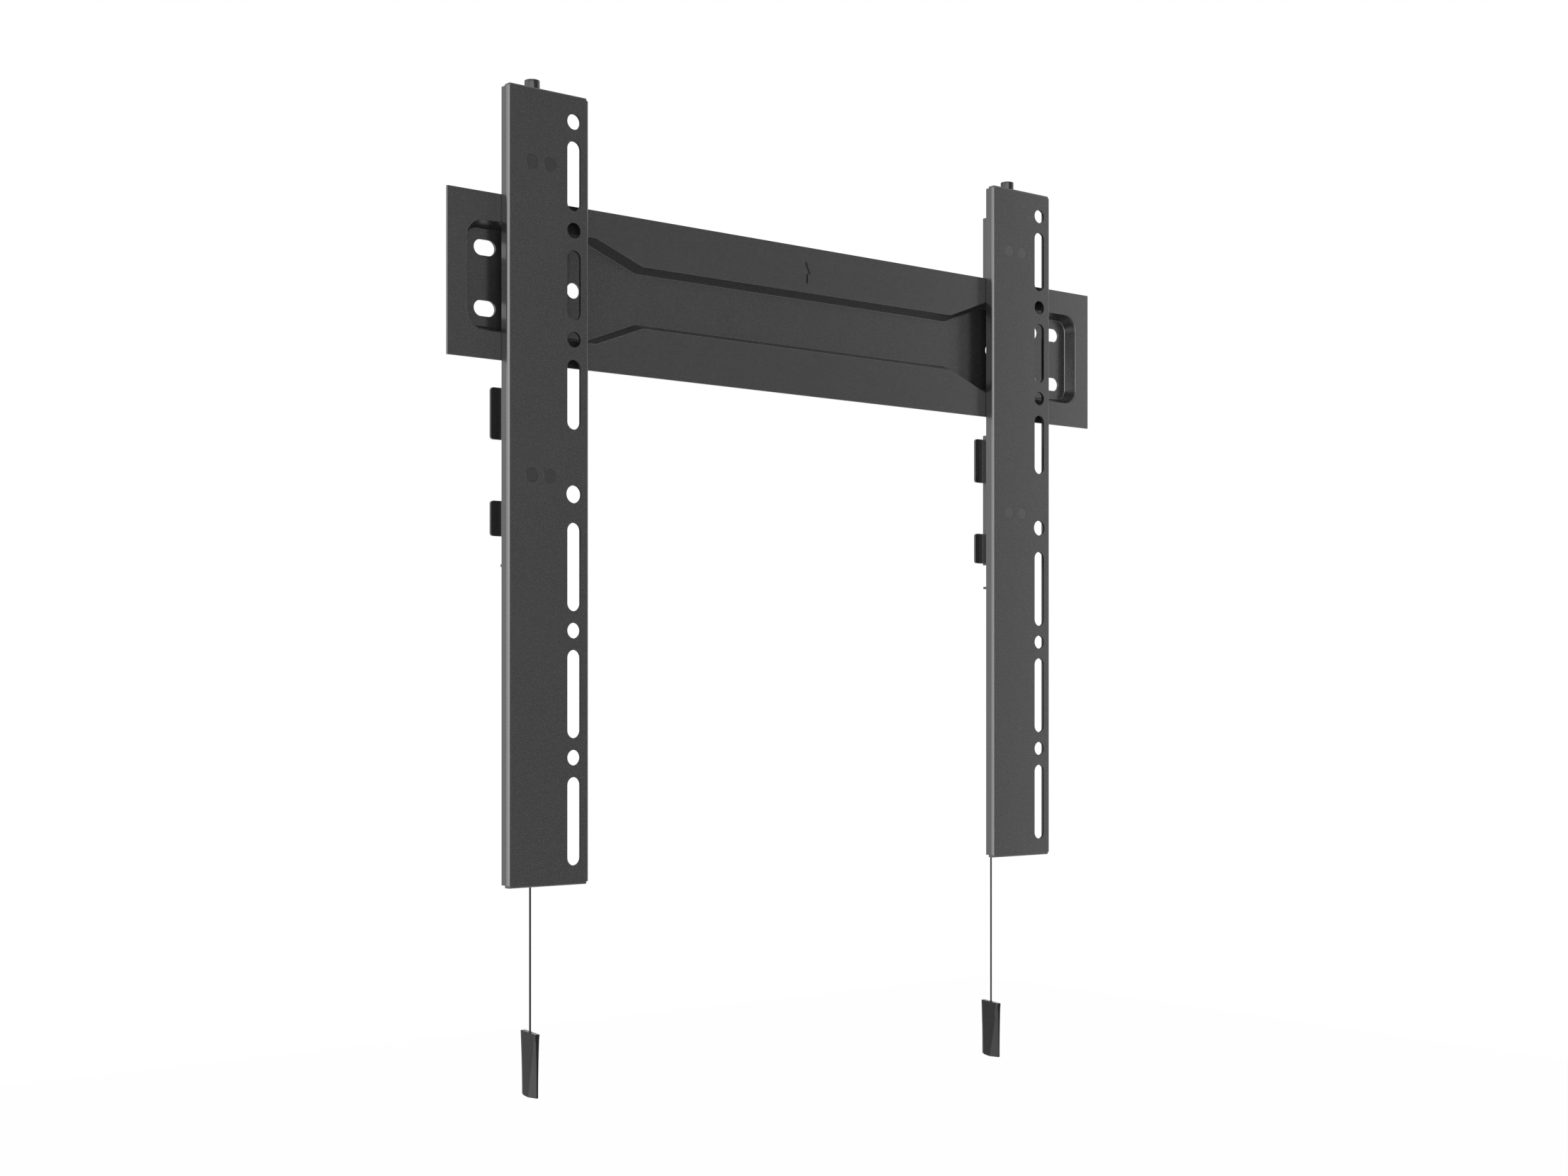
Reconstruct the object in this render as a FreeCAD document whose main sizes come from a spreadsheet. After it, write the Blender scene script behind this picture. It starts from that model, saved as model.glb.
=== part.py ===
"""Fixed slim wall bracket for a television: wall plate and two hook-on arms.

Frame: millimetres. X runs along the wall plate, Y points into the wall and Z
points up. The origin lies on the wall plane in the middle of the wall plate.

Every size is a named cell of the sheet "Sizes", and every feature is bound to
the sheet by an expression, so one cell can be changed at a time.
"""
import FreeCAD, Part
import math
import os

import Sketcher

DOC = FreeCAD.newDocument("WallBracket")
SHEET = DOC.addObject("Spreadsheet::Sheet", "Sizes")
V = FreeCAD.Vector


class Size:
    """A number together with the expression that gives it from the sheet."""

    def __init__(self, text, value):
        self.text = text
        self.value = float(value)

    @staticmethod
    def of(other):
        """Returns a plain number as a Size, and a Size as it is."""
        if isinstance(other, Size):
            return other
        return Size("(%.6g)" % other, other)

    def __add__(self, other):
        other = Size.of(other)
        return Size("(%s + %s)" % (self.text, other.text), self.value + other.value)

    def __radd__(self, other):
        return Size.of(other) + self

    def __sub__(self, other):
        other = Size.of(other)
        return Size("(%s - %s)" % (self.text, other.text), self.value - other.value)

    def __rsub__(self, other):
        return Size.of(other) - self

    def __mul__(self, other):
        other = Size.of(other)
        return Size("(%s * %s)" % (self.text, other.text), self.value * other.value)

    __rmul__ = __mul__

    def __truediv__(self, other):
        other = Size.of(other)
        return Size("(%s / %s)" % (self.text, other.text), self.value / other.value)

    def __neg__(self):
        return Size("(0 - %s)" % self.text, -self.value)


ROWS = []


def cell(alias, value, note):
    """Adds one named size to the sheet and returns it."""
    ROWS.append(alias)
    row = len(ROWS)
    SHEET.set("A%d" % row, note)
    SHEET.set("B%d" % row, repr(value))
    SHEET.setAlias("B%d" % row, alias)
    return Size("Sizes.%s" % alias, value)


# General
SHEET_T = cell("sheet_thickness", 1.5, "steel sheet thickness")
PROFILE = cell("profile_depth", 16.4, "wall plane to the front of the arms")
GAP = cell("running_gap", 0.1, "gap between pieces that slide on each other")

# Wall plate
PLATE_L = cell("plate_length", 513.1, "wall plate length")
PLATE_H = cell("plate_height", 93.3, "wall plate height")
PLATE_Y = cell("plate_front", 9.4, "wall plane to the front of the plate")
RECESS_L = cell("recess_half_length", 244.2, "half length of the pressed recess")
RECESS_W = cell("recess_wide_half", 30.8, "half height of the recess at its ends")
RECESS_N = cell("recess_narrow_half", 18.2, "half height of the recess in the middle")
NECK_IN = cell("neck_inner", 124.8, "centre to where the narrow part starts")
NECK_OUT = cell("neck_outer", 158.0, "centre to where the wide part starts")
RECESS_R = cell("recess_corner", 11.0, "corner radius of the recess")
RECESS_RUN = cell("recess_run", 3.1, "how far the recess walls lean inwards")
WALL_GROW = cell("recess_wall", 1.0, "extra width of the pressed shape at the back")
SLOT_L = cell("wall_slot_length", 13.9, "wall screw slot length")
SLOT_W = cell("wall_slot_width", 9.0, "wall screw slot width")
SLOT_X1 = cell("wall_slot_outer", 228.1, "centre to the outer slots")
SLOT_X2 = cell("wall_slot_inner", 207.7, "centre to the inner slots")
SLOT_Z = cell("wall_slot_row", 17.1, "centre line to the slot rows")
ROUND_X = cell("round_hole_place", 168.7, "centre to the round wall holes")
ROUND_R = cell("round_hole_radius", 4.5, "round wall hole radius")
ARROW_TIP = cell("arrow_tip", 38.0, "height of the tip of the pressed arrow")
ARROW_HEAD = cell("arrow_head", 8.1, "height of the arrow head")
ARROW_HALF = cell("arrow_half", 3.6, "half width of the arrow head")
ARROW_STEM = cell("arrow_stem", 1.35, "half width of the arrow stem")
ARROW_TAIL = cell("arrow_tail", 5.8, "length of the arrow stem")
ARROW_D = cell("arrow_depth", 0.7, "depth of the pressed arrow")

# Arms
LEFT_X = cell("left_arm_place", -222.1, "left edge of the left arm")
RIGHT_X = cell("right_arm_place", 156.8, "left edge of the right arm")
ARM_OVER = cell("arm_over_plate", 61.85, "height of the arm top above the plate")
ARM_H = cell("arm_height", 451.8, "arm height")
ARM_W = cell("arm_width", 54.5, "arm width")
ARM_D = cell("arm_side_depth", 6.7, "depth of the side flanges")
ARM_E = cell("arm_end_depth", 6.1, "depth of the top and bottom flanges")
ARM_R = cell("arm_bend_radius", 1.8, "outer radius of the arm bends")
ARM_RI = cell("arm_inner_radius", 0.4, "inner radius of the arm bends")
CUT_X = cell("relief_width", 1.9, "corner relief along the width")
CUT_Z = cell("relief_height", 1.7, "corner relief along the height")
EAR_W = cell("ear_half_width", 7.0, "half width of the ear round the level screw")
EAR_D = cell("ear_depth", 6.0, "depth of that ear behind its screw")
COL_X = cell("hole_column", 44.1, "arm edge to the column of screw holes")
COL_W = cell("arm_slot_width", 9.0, "width of the slots in the arm")
HOLE_R = cell("arm_hole_radius", 4.5, "radius of the round holes in the arm")
HOLE_BIG = cell("arm_big_hole_radius", 5.1, "radius of the middle round hole")
SLOT_UP = cell("upper_slot_length", 40.0, "length of the three upper slots")
SLOT_LOW = cell("lower_slot_length", 50.6, "length of the three lower slots")
HOLE_AT = [cell("arm_hole_%s" % w, v, "arm top to the %s round hole" % w) for w, v in (
    ("first", 15.2), ("second", 77.5), ("third", 139.8), ("fourth", 228.3),
    ("fifth", 306.3), ("sixth", 379.0))]
SLOT_AT = [cell("arm_slot_%s" % w, v, "arm top to the middle of the %s slot" % w) for w, v in (
    ("first", 46.3), ("second", 108.8), ("third", 171.3), ("fourth", 269.9),
    ("fifth", 342.6), ("sixth", 415.4))]

# Brackets inside the arms
CASE_X = cell("case_place", 4.9, "arm edge to the brackets inside it")
CASE_W = cell("case_width", 31.4, "width of the brackets inside the arm")
CASE_D = cell("case_depth", 14.75, "arm face to the back edge of the brackets")
HOOK_TOP = cell("hook_top", 19.6, "arm top to the top of the hook bracket")
HOOK_SLACK = cell("hook_slack", 0.2, "gap between the hook bracket and the arm face")
HOOK_REACH = cell("hook_reach", 12.5, "how far the hooks reach down behind the plate")
CASE_TOP = cell("case_top", 166.9, "arm top to the top of the latch case")
CASE_H = cell("case_height", 87.8, "height of the latch case")
FOOT_A = cell("foot_upper", 184.1, "arm top to the middle of the upper feet")
FOOT_AH = cell("foot_upper_height", 29.4, "height of the upper feet")
FOOT_B = cell("foot_lower", 243.4, "arm top to the middle of the lower feet")
FOOT_BH = cell("foot_lower_height", 20.0, "height of the lower feet")
FOOT_IN = cell("foot_inside", 3.0, "width of the feet on the inner side")
FOOT_OUT = cell("foot_outside", 1.9, "how far the outer feet reach past the arm edge")

# Rivets
RIVET_A = cell("rivet_left", 15.65, "arm edge to the left rivets")
RIVET_B = cell("rivet_right", 27.65, "arm edge to the right rivets")
RIVET_UP = cell("rivet_upper", 42.3, "arm top to the upper rivets")
RIVET_LOW = cell("rivet_lower", 219.1, "arm top to the lower rivets")
RIVET_R = cell("rivet_radius", 2.0, "rivet shank radius")
RIVET_HEAD = cell("rivet_head_radius", 4.0, "rivet head radius")
RIVET_TAIL = cell("rivet_tail_radius", 3.4, "rivet tail radius")
RIVET_P = cell("rivet_head_height", 0.5, "depth of the pockets for the rivet heads")
RIVET_SINK = cell("rivet_head_sink", 0.05, "how far the rivet heads lie under the arm face")
RIVET_T = cell("rivet_tail_height", 1.0, "height of the rivet tails")
LEVEL = cell("level_travel", 2.4, "height change of the arm each way")

# Level screw
SCREW_X = cell("screw_place", 20.8, "arm edge to the level screw")
SCREW_Y = cell("screw_depth", 7.7, "arm face to the level screw")
SCREW_R = cell("screw_radius", 2.5, "level screw radius")
SCREW_L = cell("screw_length", 38.0, "level screw length under the arm top")
KNOB_R = cell("knob_radius", 4.4, "knob radius")
KNOB_H = cell("knob_height", 5.7, "knob height")
KNOB_E = cell("knob_edge", 0.5, "bevel on the knob")
RING_R = cell("ring_radius", 4.6, "retaining ring radius")
RING_T = cell("ring_thickness", 0.8, "retaining ring thickness")
NUT_W = cell("nut_half_width", 4.0, "half the width of the nut over its flats")
NUT_H = cell("nut_height", 4.0, "nut height")

# Latch
LATCH_Y = cell("latch_front", 9.2, "arm face to the front of the latch slide")
LATCH_T = cell("latch_thickness", 2.0, "latch slide thickness")
LATCH_UP = cell("latch_overlap", 5.0, "overlap of the latch behind the plate")
LATCH_END = cell("latch_end", 226.5, "arm top to the lower edge of the latch slide")
LATCH_N = cell("latch_hook_half", 9.0, "half width of the latch hook")
EAR_UP = cell("latch_ear_top", 183.5, "arm top to the top of the latch ears")
EAR_H = cell("latch_ear_height", 10.0, "height of the latch ears")
TRAVEL = cell("latch_travel", 8.0, "latch travel when the cord is pulled")
ROD_X = cell("rod_place", 21.5, "arm edge to the latch rod")
ROD_R = cell("rod_radius", 1.5, "latch rod radius")
ROD_HEAD = cell("rod_head_radius", 3.2, "latch rod head radius")
ROD_END = cell("rod_end", 271.0, "arm top to the lower end of the latch rod")
SPRING_R = cell("spring_radius", 2.6, "spring radius to the middle of the wire")
WIRE_R = cell("wire_radius", 0.35, "spring wire radius")
PITCH = cell("spring_pitch", 2.7, "spring pitch")

# Pull cord
BAR_T = cell("bar_thickness", 1.6, "cord bar thickness")
BAR_X = cell("bar_start", 2.7, "arm edge to the end of the cord bar")
BAR_L = cell("bar_length", 33.6, "cord bar length")
BAR_W = cell("bar_half_width", 3.4, "half the width of the cord bar")
CORD_Y = cell("cord_depth", 7.8, "arm face to the cords")
CORD_MID = cell("cord_middle", 19.5, "arm edge to the middle hole of the cord bar")
CORD_STEP = cell("cord_step", 13.85, "distance between the holes of the cord bar")
CORD_R = cell("cord_radius", 0.6, "cord radius")
DROP_L = cell("left_cord_drop", 82.2, "arm bottom to the top of the left handle")
DROP_R = cell("right_cord_drop", 97.1, "arm bottom to the top of the right handle")
CRIMP_R = cell("crimp_radius", 1.5, "radius of the crimp on the cord")
CRIMP_H = cell("crimp_height", 3.0, "height of the crimp")
GRIP_W = cell("grip_width", 15.5, "handle width")
GRIP_T = cell("grip_thickness", 3.3, "handle thickness")
GRIP_H = cell("grip_height", 36.3, "height of the handle's sides")
GRIP_BOW = cell("grip_bow", 1.1, "bow of the handle's lower edge")
GRIP_EDGE = cell("grip_edge", 0.2, "bevel on the handle's upright edges at its top")
FACET_T = cell("grip_facet_depth", 1.0, "facets at the handle's lower end, across its thickness")
FACET_W = cell("grip_facet_width", 4.6, "facets at the handle's lower end, along its width")
COLLAR_H = cell("grip_collar_height", 1.2, "height of the collar round the cord")

FACE = -PROFILE
TOP = PLATE_H / 2 + ARM_OVER
BOTTOM = TOP - ARM_H
PLATE_TOP = PLATE_H / 2
PLATE_LOW = -PLATE_H / 2
BACK = SHEET_T - PLATE_Y

FRONT_PLANE = FreeCAD.Rotation(V(1, 0, 0), 90)
SIDE_PLANE = FreeCAD.Rotation(V(1, 1, 1), 120)
FLAT_PLANE = FreeCAD.Rotation()


def bind(obj, prop, size):
    """Binds a property of an object to a size."""
    obj.setExpression(prop, Size.of(size).text)


def place(obj, x, y, z, rotation=FLAT_PLANE):
    """Places an object and binds its three coordinates."""
    x, y, z = Size.of(x), Size.of(y), Size.of(z)
    obj.Placement = FreeCAD.Placement(V(x.value, y.value, z.value), rotation)
    bind(obj, "Placement.Base.x", x)
    bind(obj, "Placement.Base.y", y)
    bind(obj, "Placement.Base.z", z)
    return obj


def box(name, x, y, z, dx, dy, dz):
    """Makes a box from its lowest corner and its three lengths."""
    obj = DOC.addObject("Part::Box", name)
    for prop, size in (("Length", dx), ("Width", dy), ("Height", dz)):
        bind(obj, prop, size)
    return place(obj, x, y, z)


def rod(name, x, y, z, radius, length, rotation=FLAT_PLANE):
    """Makes a cylinder from the middle of its first end."""
    obj = DOC.addObject("Part::Cylinder", name)
    bind(obj, "Radius", radius)
    bind(obj, "Height", length)
    return place(obj, x, y, z, rotation)


def hold(sketch, geometry, point, size, kind):
    """Fixes one coordinate of a sketch point and binds it."""
    size = Size.of(size)
    index = sketch.addConstraint(
        Sketcher.Constraint(kind, -1, 1, geometry, point, size.value))
    sketch.setExpression("Constraints[%d]" % index, size.text)


def radius_of(sketch, geometry, size):
    """Fixes the radius of an arc or circle and binds it."""
    size = Size.of(size)
    index = sketch.addConstraint(Sketcher.Constraint("Radius", geometry, size.value))
    sketch.setExpression("Constraints[%d]" % index, size.text)


def new_sketch(name, rotation, x=0, y=0, z=0):
    """Makes an empty sketch on a plane whose place is bound."""
    sketch = DOC.addObject("Sketcher::SketchObject", name)
    place(sketch, x, y, z, rotation)
    return sketch


def add_outline(sketch, corners):
    """Adds a closed outline of straight lines with rounded corners.

    Each corner is (u, v) or (u, v, radius). A corner with a radius lies
    between one level and one upright line.
    """
    points = []
    count = len(corners)
    values = [(Size.of(c[0]).value, Size.of(c[1]).value) for c in corners]
    for i, corner in enumerate(corners):
        u, v = Size.of(corner[0]), Size.of(corner[1])
        if len(corner) == 2:
            points.append([(u, v)])
            continue
        r = Size.of(corner[2])
        ends = []
        for j in (i - 1, (i + 1) % count):
            du, dv = values[j][0] - u.value, values[j][1] - v.value
            if abs(du) > abs(dv):
                ends.append((u + math.copysign(1, du) * r, v))
            else:
                ends.append((u, v + math.copysign(1, dv) * r))
        points.append(ends)
    lines = []
    for i in range(count):
        a, b = points[i][-1], points[(i + 1) % count][0]
        lines.append(sketch.addGeometry(Part.LineSegment(
            V(a[0].value, a[1].value, 0), V(b[0].value, b[1].value, 0)), False))
    for i in range(count):
        before, after = lines[i - 1], lines[i]
        if len(points[i]) == 1:
            sketch.addConstraint(Sketcher.Constraint("Coincident", before, 2, after, 1))
            hold(sketch, after, 1, points[i][0][0], "DistanceX")
            hold(sketch, after, 1, points[i][0][1], "DistanceY")
            continue
        for line, end, point in ((before, 2, points[i][0]), (after, 1, points[i][1])):
            hold(sketch, line, end, point[0], "DistanceX")
            hold(sketch, line, end, point[1], "DistanceY")
        r = Size.of(corners[i][2])
        a, b = [V(p[0].value, p[1].value, 0) for p in points[i]]
        centre = a + b - V(values[i][0], values[i][1], 0)
        circle = Part.Circle(centre, V(0, 0, 1), r.value)
        span = [circle.parameter(a), circle.parameter(b)]
        first, last = 1, 2
        if (a - centre).cross(b - centre).z < 0:
            span.reverse()
            first, last = 2, 1
        index = sketch.addGeometry(Part.ArcOfCircle(circle, span[0], span[1]), False)
        sketch.addConstraint(Sketcher.Constraint("Coincident", before, 2, index, first))
        sketch.addConstraint(Sketcher.Constraint("Coincident", after, 1, index, last))
        radius_of(sketch, index, r)
    return sketch


def add_slot(sketch, u, v, length, width, upright):
    """Adds a slot with round ends, centred on (u, v)."""
    u, v, r = Size.of(u), Size.of(v), Size.of(width) / 2
    reach = Size.of(length) / 2 - r
    turn = 0.0 if upright else -math.pi / 2
    ends = [(u, v + reach), (u, v - reach)] if upright else [(u + reach, v), (u - reach, v)]
    arcs = []
    for k, (cu, cv) in enumerate(ends):
        circle = Part.Circle(V(cu.value, cv.value, 0), V(0, 0, 1), r.value)
        start = turn + k * math.pi
        arcs.append(sketch.addGeometry(
            Part.ArcOfCircle(circle, start, start + math.pi), False))
    geometry = [sketch.Geometry[a] for a in arcs]
    lines = []
    for k in (0, 1):
        lines.append(sketch.addGeometry(Part.LineSegment(
            geometry[k].EndPoint, geometry[1 - k].StartPoint), False))
    for k in (0, 1):
        sketch.addConstraint(Sketcher.Constraint("Tangent", arcs[k], 2, lines[k], 1))
        sketch.addConstraint(Sketcher.Constraint("Tangent", lines[k], 2, arcs[1 - k], 1))
    sketch.addConstraint(Sketcher.Constraint("Equal", arcs[0], arcs[1]))
    radius_of(sketch, arcs[0], r)
    for arc, (cu, cv) in zip(arcs, ends):
        hold(sketch, arc, 3, cu, "DistanceX")
        hold(sketch, arc, 3, cv, "DistanceY")
    return sketch


def add_circle(sketch, u, v, radius):
    """Adds a circle."""
    u, v, radius = Size.of(u), Size.of(v), Size.of(radius)
    index = sketch.addGeometry(
        Part.Circle(V(u.value, v.value, 0), V(0, 0, 1), radius.value), False)
    radius_of(sketch, index, radius)
    hold(sketch, index, 3, u, "DistanceX")
    hold(sketch, index, 3, v, "DistanceY")
    return sketch


def extrude(name, sketch, direction, length, taper=None):
    """Extrudes a sketch along a direction, with a bound length."""
    obj = DOC.addObject("Part::Extrusion", name)
    obj.Base = sketch
    obj.DirMode = "Custom"
    obj.Dir = V(*direction)
    obj.Solid = True
    obj.LengthFwd = Size.of(length).value
    bind(obj, "LengthFwd", length)
    if taper is not None:
        obj.setExpression("TaperAngle", taper)
    return obj


def fuse(name, parts):
    """Joins shapes to one."""
    obj = DOC.addObject("Part::MultiFuse", name)
    obj.Shapes = parts
    obj.Refine = True
    return obj


def cut(name, base, tools):
    """Cuts tools out of a base."""
    tool = tools[0] if len(tools) == 1 else fuse(name + "_cuts", tools)
    obj = DOC.addObject("Part::Cut", name)
    obj.Base = base
    obj.Tool = tool
    obj.Refine = True
    return obj


def group(name, parts):
    """Holds identical fasteners in one node as separate solids."""
    obj = DOC.addObject("Part::Compound", name)
    obj.Links = parts
    return obj


FINISHED = []


def finish(obj, name):
    """Marks an object as a finished sub-part with its file name."""
    obj.Label = name
    FINISHED.append(obj)
    return obj


def recess_corners(grow):
    """Corners of the dog-bone recess, grown by a size."""
    long, wide, narrow = RECESS_L + grow, RECESS_W + grow, RECESS_N + grow
    out, neck, r = NECK_OUT - grow * 0.2, NECK_IN - grow * 0.2, RECESS_R + grow
    return [(-long, -wide, r), (-out, -wide), (-neck, -narrow), (neck, -narrow),
            (out, -wide), (long, -wide, r), (long, wide, r), (out, wide),
            (neck, narrow), (-neck, narrow), (-out, wide), (-long, wide, r)]


def wall_plate():
    """The pressed wall plate: one sheet with a recess that meets the wall."""
    slab = box("plate_slab", -PLATE_L / 2, -PLATE_Y, PLATE_LOW, PLATE_L, SHEET_T, PLATE_H)
    depth = PLATE_Y - SHEET_T
    angle = "-1 * atan(%s / %s)" % (RECESS_RUN.text, depth.text)
    back = new_sketch("recess_back", FRONT_PLANE, 0, BACK, 0)
    add_outline(back, recess_corners(WALL_GROW))
    bump = extrude("recess_bump", back, (0, 1, 0), depth, angle)
    front = new_sketch("recess_front", FRONT_PLANE, 0, -PLATE_Y, 0)
    add_outline(front, recess_corners(Size.of(0)))
    pocket = extrude("recess_pocket", front, (0, 1, 0), depth, angle)
    holes = new_sketch("plate_holes", FRONT_PLANE, 0, -(PLATE_Y + 1), 0)
    for side in (-1, 1):
        for row in (-1, 1):
            for place_x in (SLOT_X1, SLOT_X2):
                add_slot(holes, side * place_x, row * SLOT_Z, SLOT_L, SLOT_W, False)
        add_circle(holes, side * ROUND_X, 0, ROUND_R)
    drill = extrude("plate_drill", holes, (0, 1, 0), PLATE_Y + 2)
    arrow = new_sketch("plate_arrow", FRONT_PLANE, 0, -PLATE_Y, 0)
    neck, foot = ARROW_TIP - ARROW_HEAD, ARROW_TIP - ARROW_HEAD - ARROW_TAIL
    add_outline(arrow, [
        (Size.of(0), ARROW_TIP), (-ARROW_HALF, neck), (-ARROW_STEM, neck),
        (-ARROW_STEM, foot), (ARROW_STEM, foot), (ARROW_STEM, neck), (ARROW_HALF, neck)])
    mark = extrude("plate_mark", arrow, (0, 1, 0), ARROW_D)
    body = fuse("plate_body", [slab, bump])
    finish(cut("wall_plate_solid", body, [pocket, drill, mark]), "wall_plate")


def arm(side, x):
    """One arm: a sheet folded on all four sides, with its column of holes."""
    def name(word):
        return "%s_%s" % (side, word)

    right = x + ARM_W
    side_y, end_y = FACE + ARM_D, FACE + ARM_E
    inner = FACE + SHEET_T
    across = new_sketch(name("arm_across"), FLAT_PLANE, 0, 0, BOTTOM + CUT_Z)
    add_outline(across, [
        (x, FACE, ARM_R), (right, FACE, ARM_R), (right, side_y), (right - SHEET_T, side_y),
        (right - SHEET_T, inner, ARM_RI), (x + SHEET_T, inner, ARM_RI),
        (x + SHEET_T, side_y), (x, side_y)])
    sides = extrude(name("arm_sides"), across, (0, 0, 1), ARM_H - 2 * CUT_Z)
    along = new_sketch(name("arm_along"), SIDE_PLANE, x + CUT_X, 0, 0)
    add_outline(along, [
        (FACE, BOTTOM, ARM_R), (end_y, BOTTOM), (end_y, BOTTOM + SHEET_T),
        (inner, BOTTOM + SHEET_T, ARM_RI), (inner, TOP - SHEET_T, ARM_RI),
        (end_y, TOP - SHEET_T), (end_y, TOP), (FACE, TOP, ARM_R)])
    ends = extrude(name("arm_ends"), along, (1, 0, 0), ARM_W - 2 * CUT_X)
    screw_x, screw_y = x + SCREW_X, FACE + SCREW_Y
    ear = box(name("arm_ear"), screw_x - EAR_W, FACE + ARM_R, TOP - SHEET_T,
              2 * EAR_W, SCREW_Y + EAR_D - ARM_R, SHEET_T)
    holes = new_sketch(name("arm_holes"), FRONT_PLANE, 0, FACE - 1, 0)
    for number, at in enumerate(HOLE_AT):
        add_circle(holes, x + COL_X, TOP - at, HOLE_BIG if number == 3 else HOLE_R)
    for number, at in enumerate(SLOT_AT):
        add_slot(holes, x + COL_X, TOP - at, SLOT_UP if number < 3 else SLOT_LOW, COL_W, True)
    for rivet_x in (RIVET_A, RIVET_B):
        for at in (RIVET_UP, RIVET_LOW):
            add_circle(holes, x + rivet_x, TOP - at, RIVET_R)
    drill = extrude(name("arm_drill"), holes, (0, 1, 0), SHEET_T + 2)
    pockets = new_sketch(name("arm_pockets"), FRONT_PLANE, 0, FACE, 0)
    for rivet_x in (RIVET_A, RIVET_B):
        for at in (RIVET_UP, RIVET_LOW):
            add_circle(pockets, x + rivet_x, TOP - at, RIVET_HEAD + GAP / 2)
    sink = extrude(name("arm_sink"), pockets, (0, 1, 0), RIVET_P)
    bore = rod(name("arm_bore"), screw_x, screw_y, TOP - SHEET_T - 1, SCREW_R + GAP / 2, SHEET_T + 2)
    body = fuse(name("arm_body"), [sides, ends, ear])
    finish(cut(name("arm_solid"), body, [drill, sink, bore]), "arm_" + side)


def hook_bracket(side, x):
    """The bracket that hangs on the plate, and its nut for the level screw."""
    def name(word):
        return "%s_%s" % (side, word)

    left, right = x + CASE_X, x + CASE_X + CASE_W
    front = FACE + SHEET_T + HOOK_SLACK
    back = FACE + CASE_D
    high, low = TOP - HOOK_TOP, PLATE_TOP - HOOK_REACH
    channel = new_sketch(name("hook_channel"), FLAT_PLANE, 0, 0, low)
    add_outline(channel, [
        (left, front, ARM_R), (right, front, ARM_R), (right, back), (right - SHEET_T, back),
        (right - SHEET_T, front + SHEET_T, ARM_RI), (left + SHEET_T, front + SHEET_T, ARM_RI),
        (left + SHEET_T, back), (left, back)])
    walls = extrude(name("hook_walls"), channel, (0, 0, 1), high - low)
    notch = box(name("hook_notch"), left - 1, -PLATE_Y - GAP, low - 1,
                CASE_W + 2, SHEET_T + 2 * GAP, HOOK_REACH + 1)
    slots = new_sketch(name("hook_slots"), FRONT_PLANE, 0, front - 1, 0)
    for rivet_x in (RIVET_A, RIVET_B):
        add_slot(slots, x + rivet_x, TOP - RIVET_UP, 2 * (RIVET_R + GAP + LEVEL) + 0.6,
                 2 * (RIVET_R + GAP), True)
    guide = extrude(name("hook_guide"), slots, (0, 1, 0), SHEET_T + 2)
    screw_x, screw_y = x + SCREW_X, FACE + SCREW_Y
    tab = box(name("hook_tab"), left + SHEET_T + 0.8, front + SHEET_T / 2, high - SHEET_T,
              CASE_W - 2 * SHEET_T - 1.6, CASE_D - SHEET_T - HOOK_SLACK - 2, SHEET_T)
    bore = rod(name("hook_bore"), screw_x, screw_y, high - SHEET_T - 1, SCREW_R + GAP, SHEET_T + 2)
    body = fuse(name("hook_body"), [walls, tab])
    finish(cut(name("hook_solid"), body, [notch, guide, bore]), "hook_bracket_" + side)

    nut_low = high - SHEET_T - NUT_H
    half = NUT_W / math.cos(math.pi / 6)
    outline = new_sketch(name("nut_outline"), FLAT_PLANE, screw_x, screw_y, nut_low)
    add_outline(outline, [(half, Size.of(0)), (half / 2, NUT_W), (-half / 2, NUT_W),
                          (-half, Size.of(0)), (-half / 2, -NUT_W), (half / 2, -NUT_W)])
    block = extrude(name("nut_block"), outline, (0, 0, 1), NUT_H)
    thread = rod(name("nut_thread"), screw_x, screw_y, nut_low - 1, SCREW_R + GAP / 2, NUT_H + 2)
    finish(cut(name("nut_solid"), block, [thread]), "hook_nut_" + side)


def level_screw(side, x):
    """The level screw with its knob above and its ring below the ear."""
    def name(word):
        return "%s_%s" % (side, word)

    screw_x, screw_y = x + SCREW_X, FACE + SCREW_Y
    groove = TOP - SHEET_T - GAP - RING_T
    stud = rod(name("screw_stud"), screw_x, screw_y, TOP - SCREW_L, SCREW_R, SCREW_L + KNOB_H / 2)
    tip = DOC.addObject("Part::Chamfer", name("screw_tip"))
    tip.Base = stud
    tip.Edges = [(3, 0.5, 0.5)]
    finish(tip, "level_screw_" + side)

    cap = rod(name("knob_cap"), screw_x, screw_y, TOP + GAP, KNOB_R, KNOB_H - GAP)
    edge = DOC.addObject("Part::Chamfer", name("knob_edge"))
    edge.Base = cap
    edge.Edges = [(1, KNOB_E.value, KNOB_E.value), (3, KNOB_E.value, KNOB_E.value)]
    socket = rod(name("knob_socket"), screw_x, screw_y, TOP - 1, SCREW_R, KNOB_H / 2 + 1)
    finish(cut(name("knob_solid"), edge, [socket]), "level_knob_" + side)

    disc = rod(name("ring_disc"), screw_x, screw_y, groove, RING_R, RING_T)
    hole = rod(name("ring_hole"), screw_x, screw_y, groove - 1, SCREW_R, RING_T + 2)
    mouth = box(name("ring_mouth"), screw_x - 1, screw_y + SCREW_R * 0.5, groove - 1,
                Size.of(2), RING_R + 1, RING_T + 2)
    finish(cut(name("ring_solid"), disc, [hole, mouth]), "retaining_ring_" + side)


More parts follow.
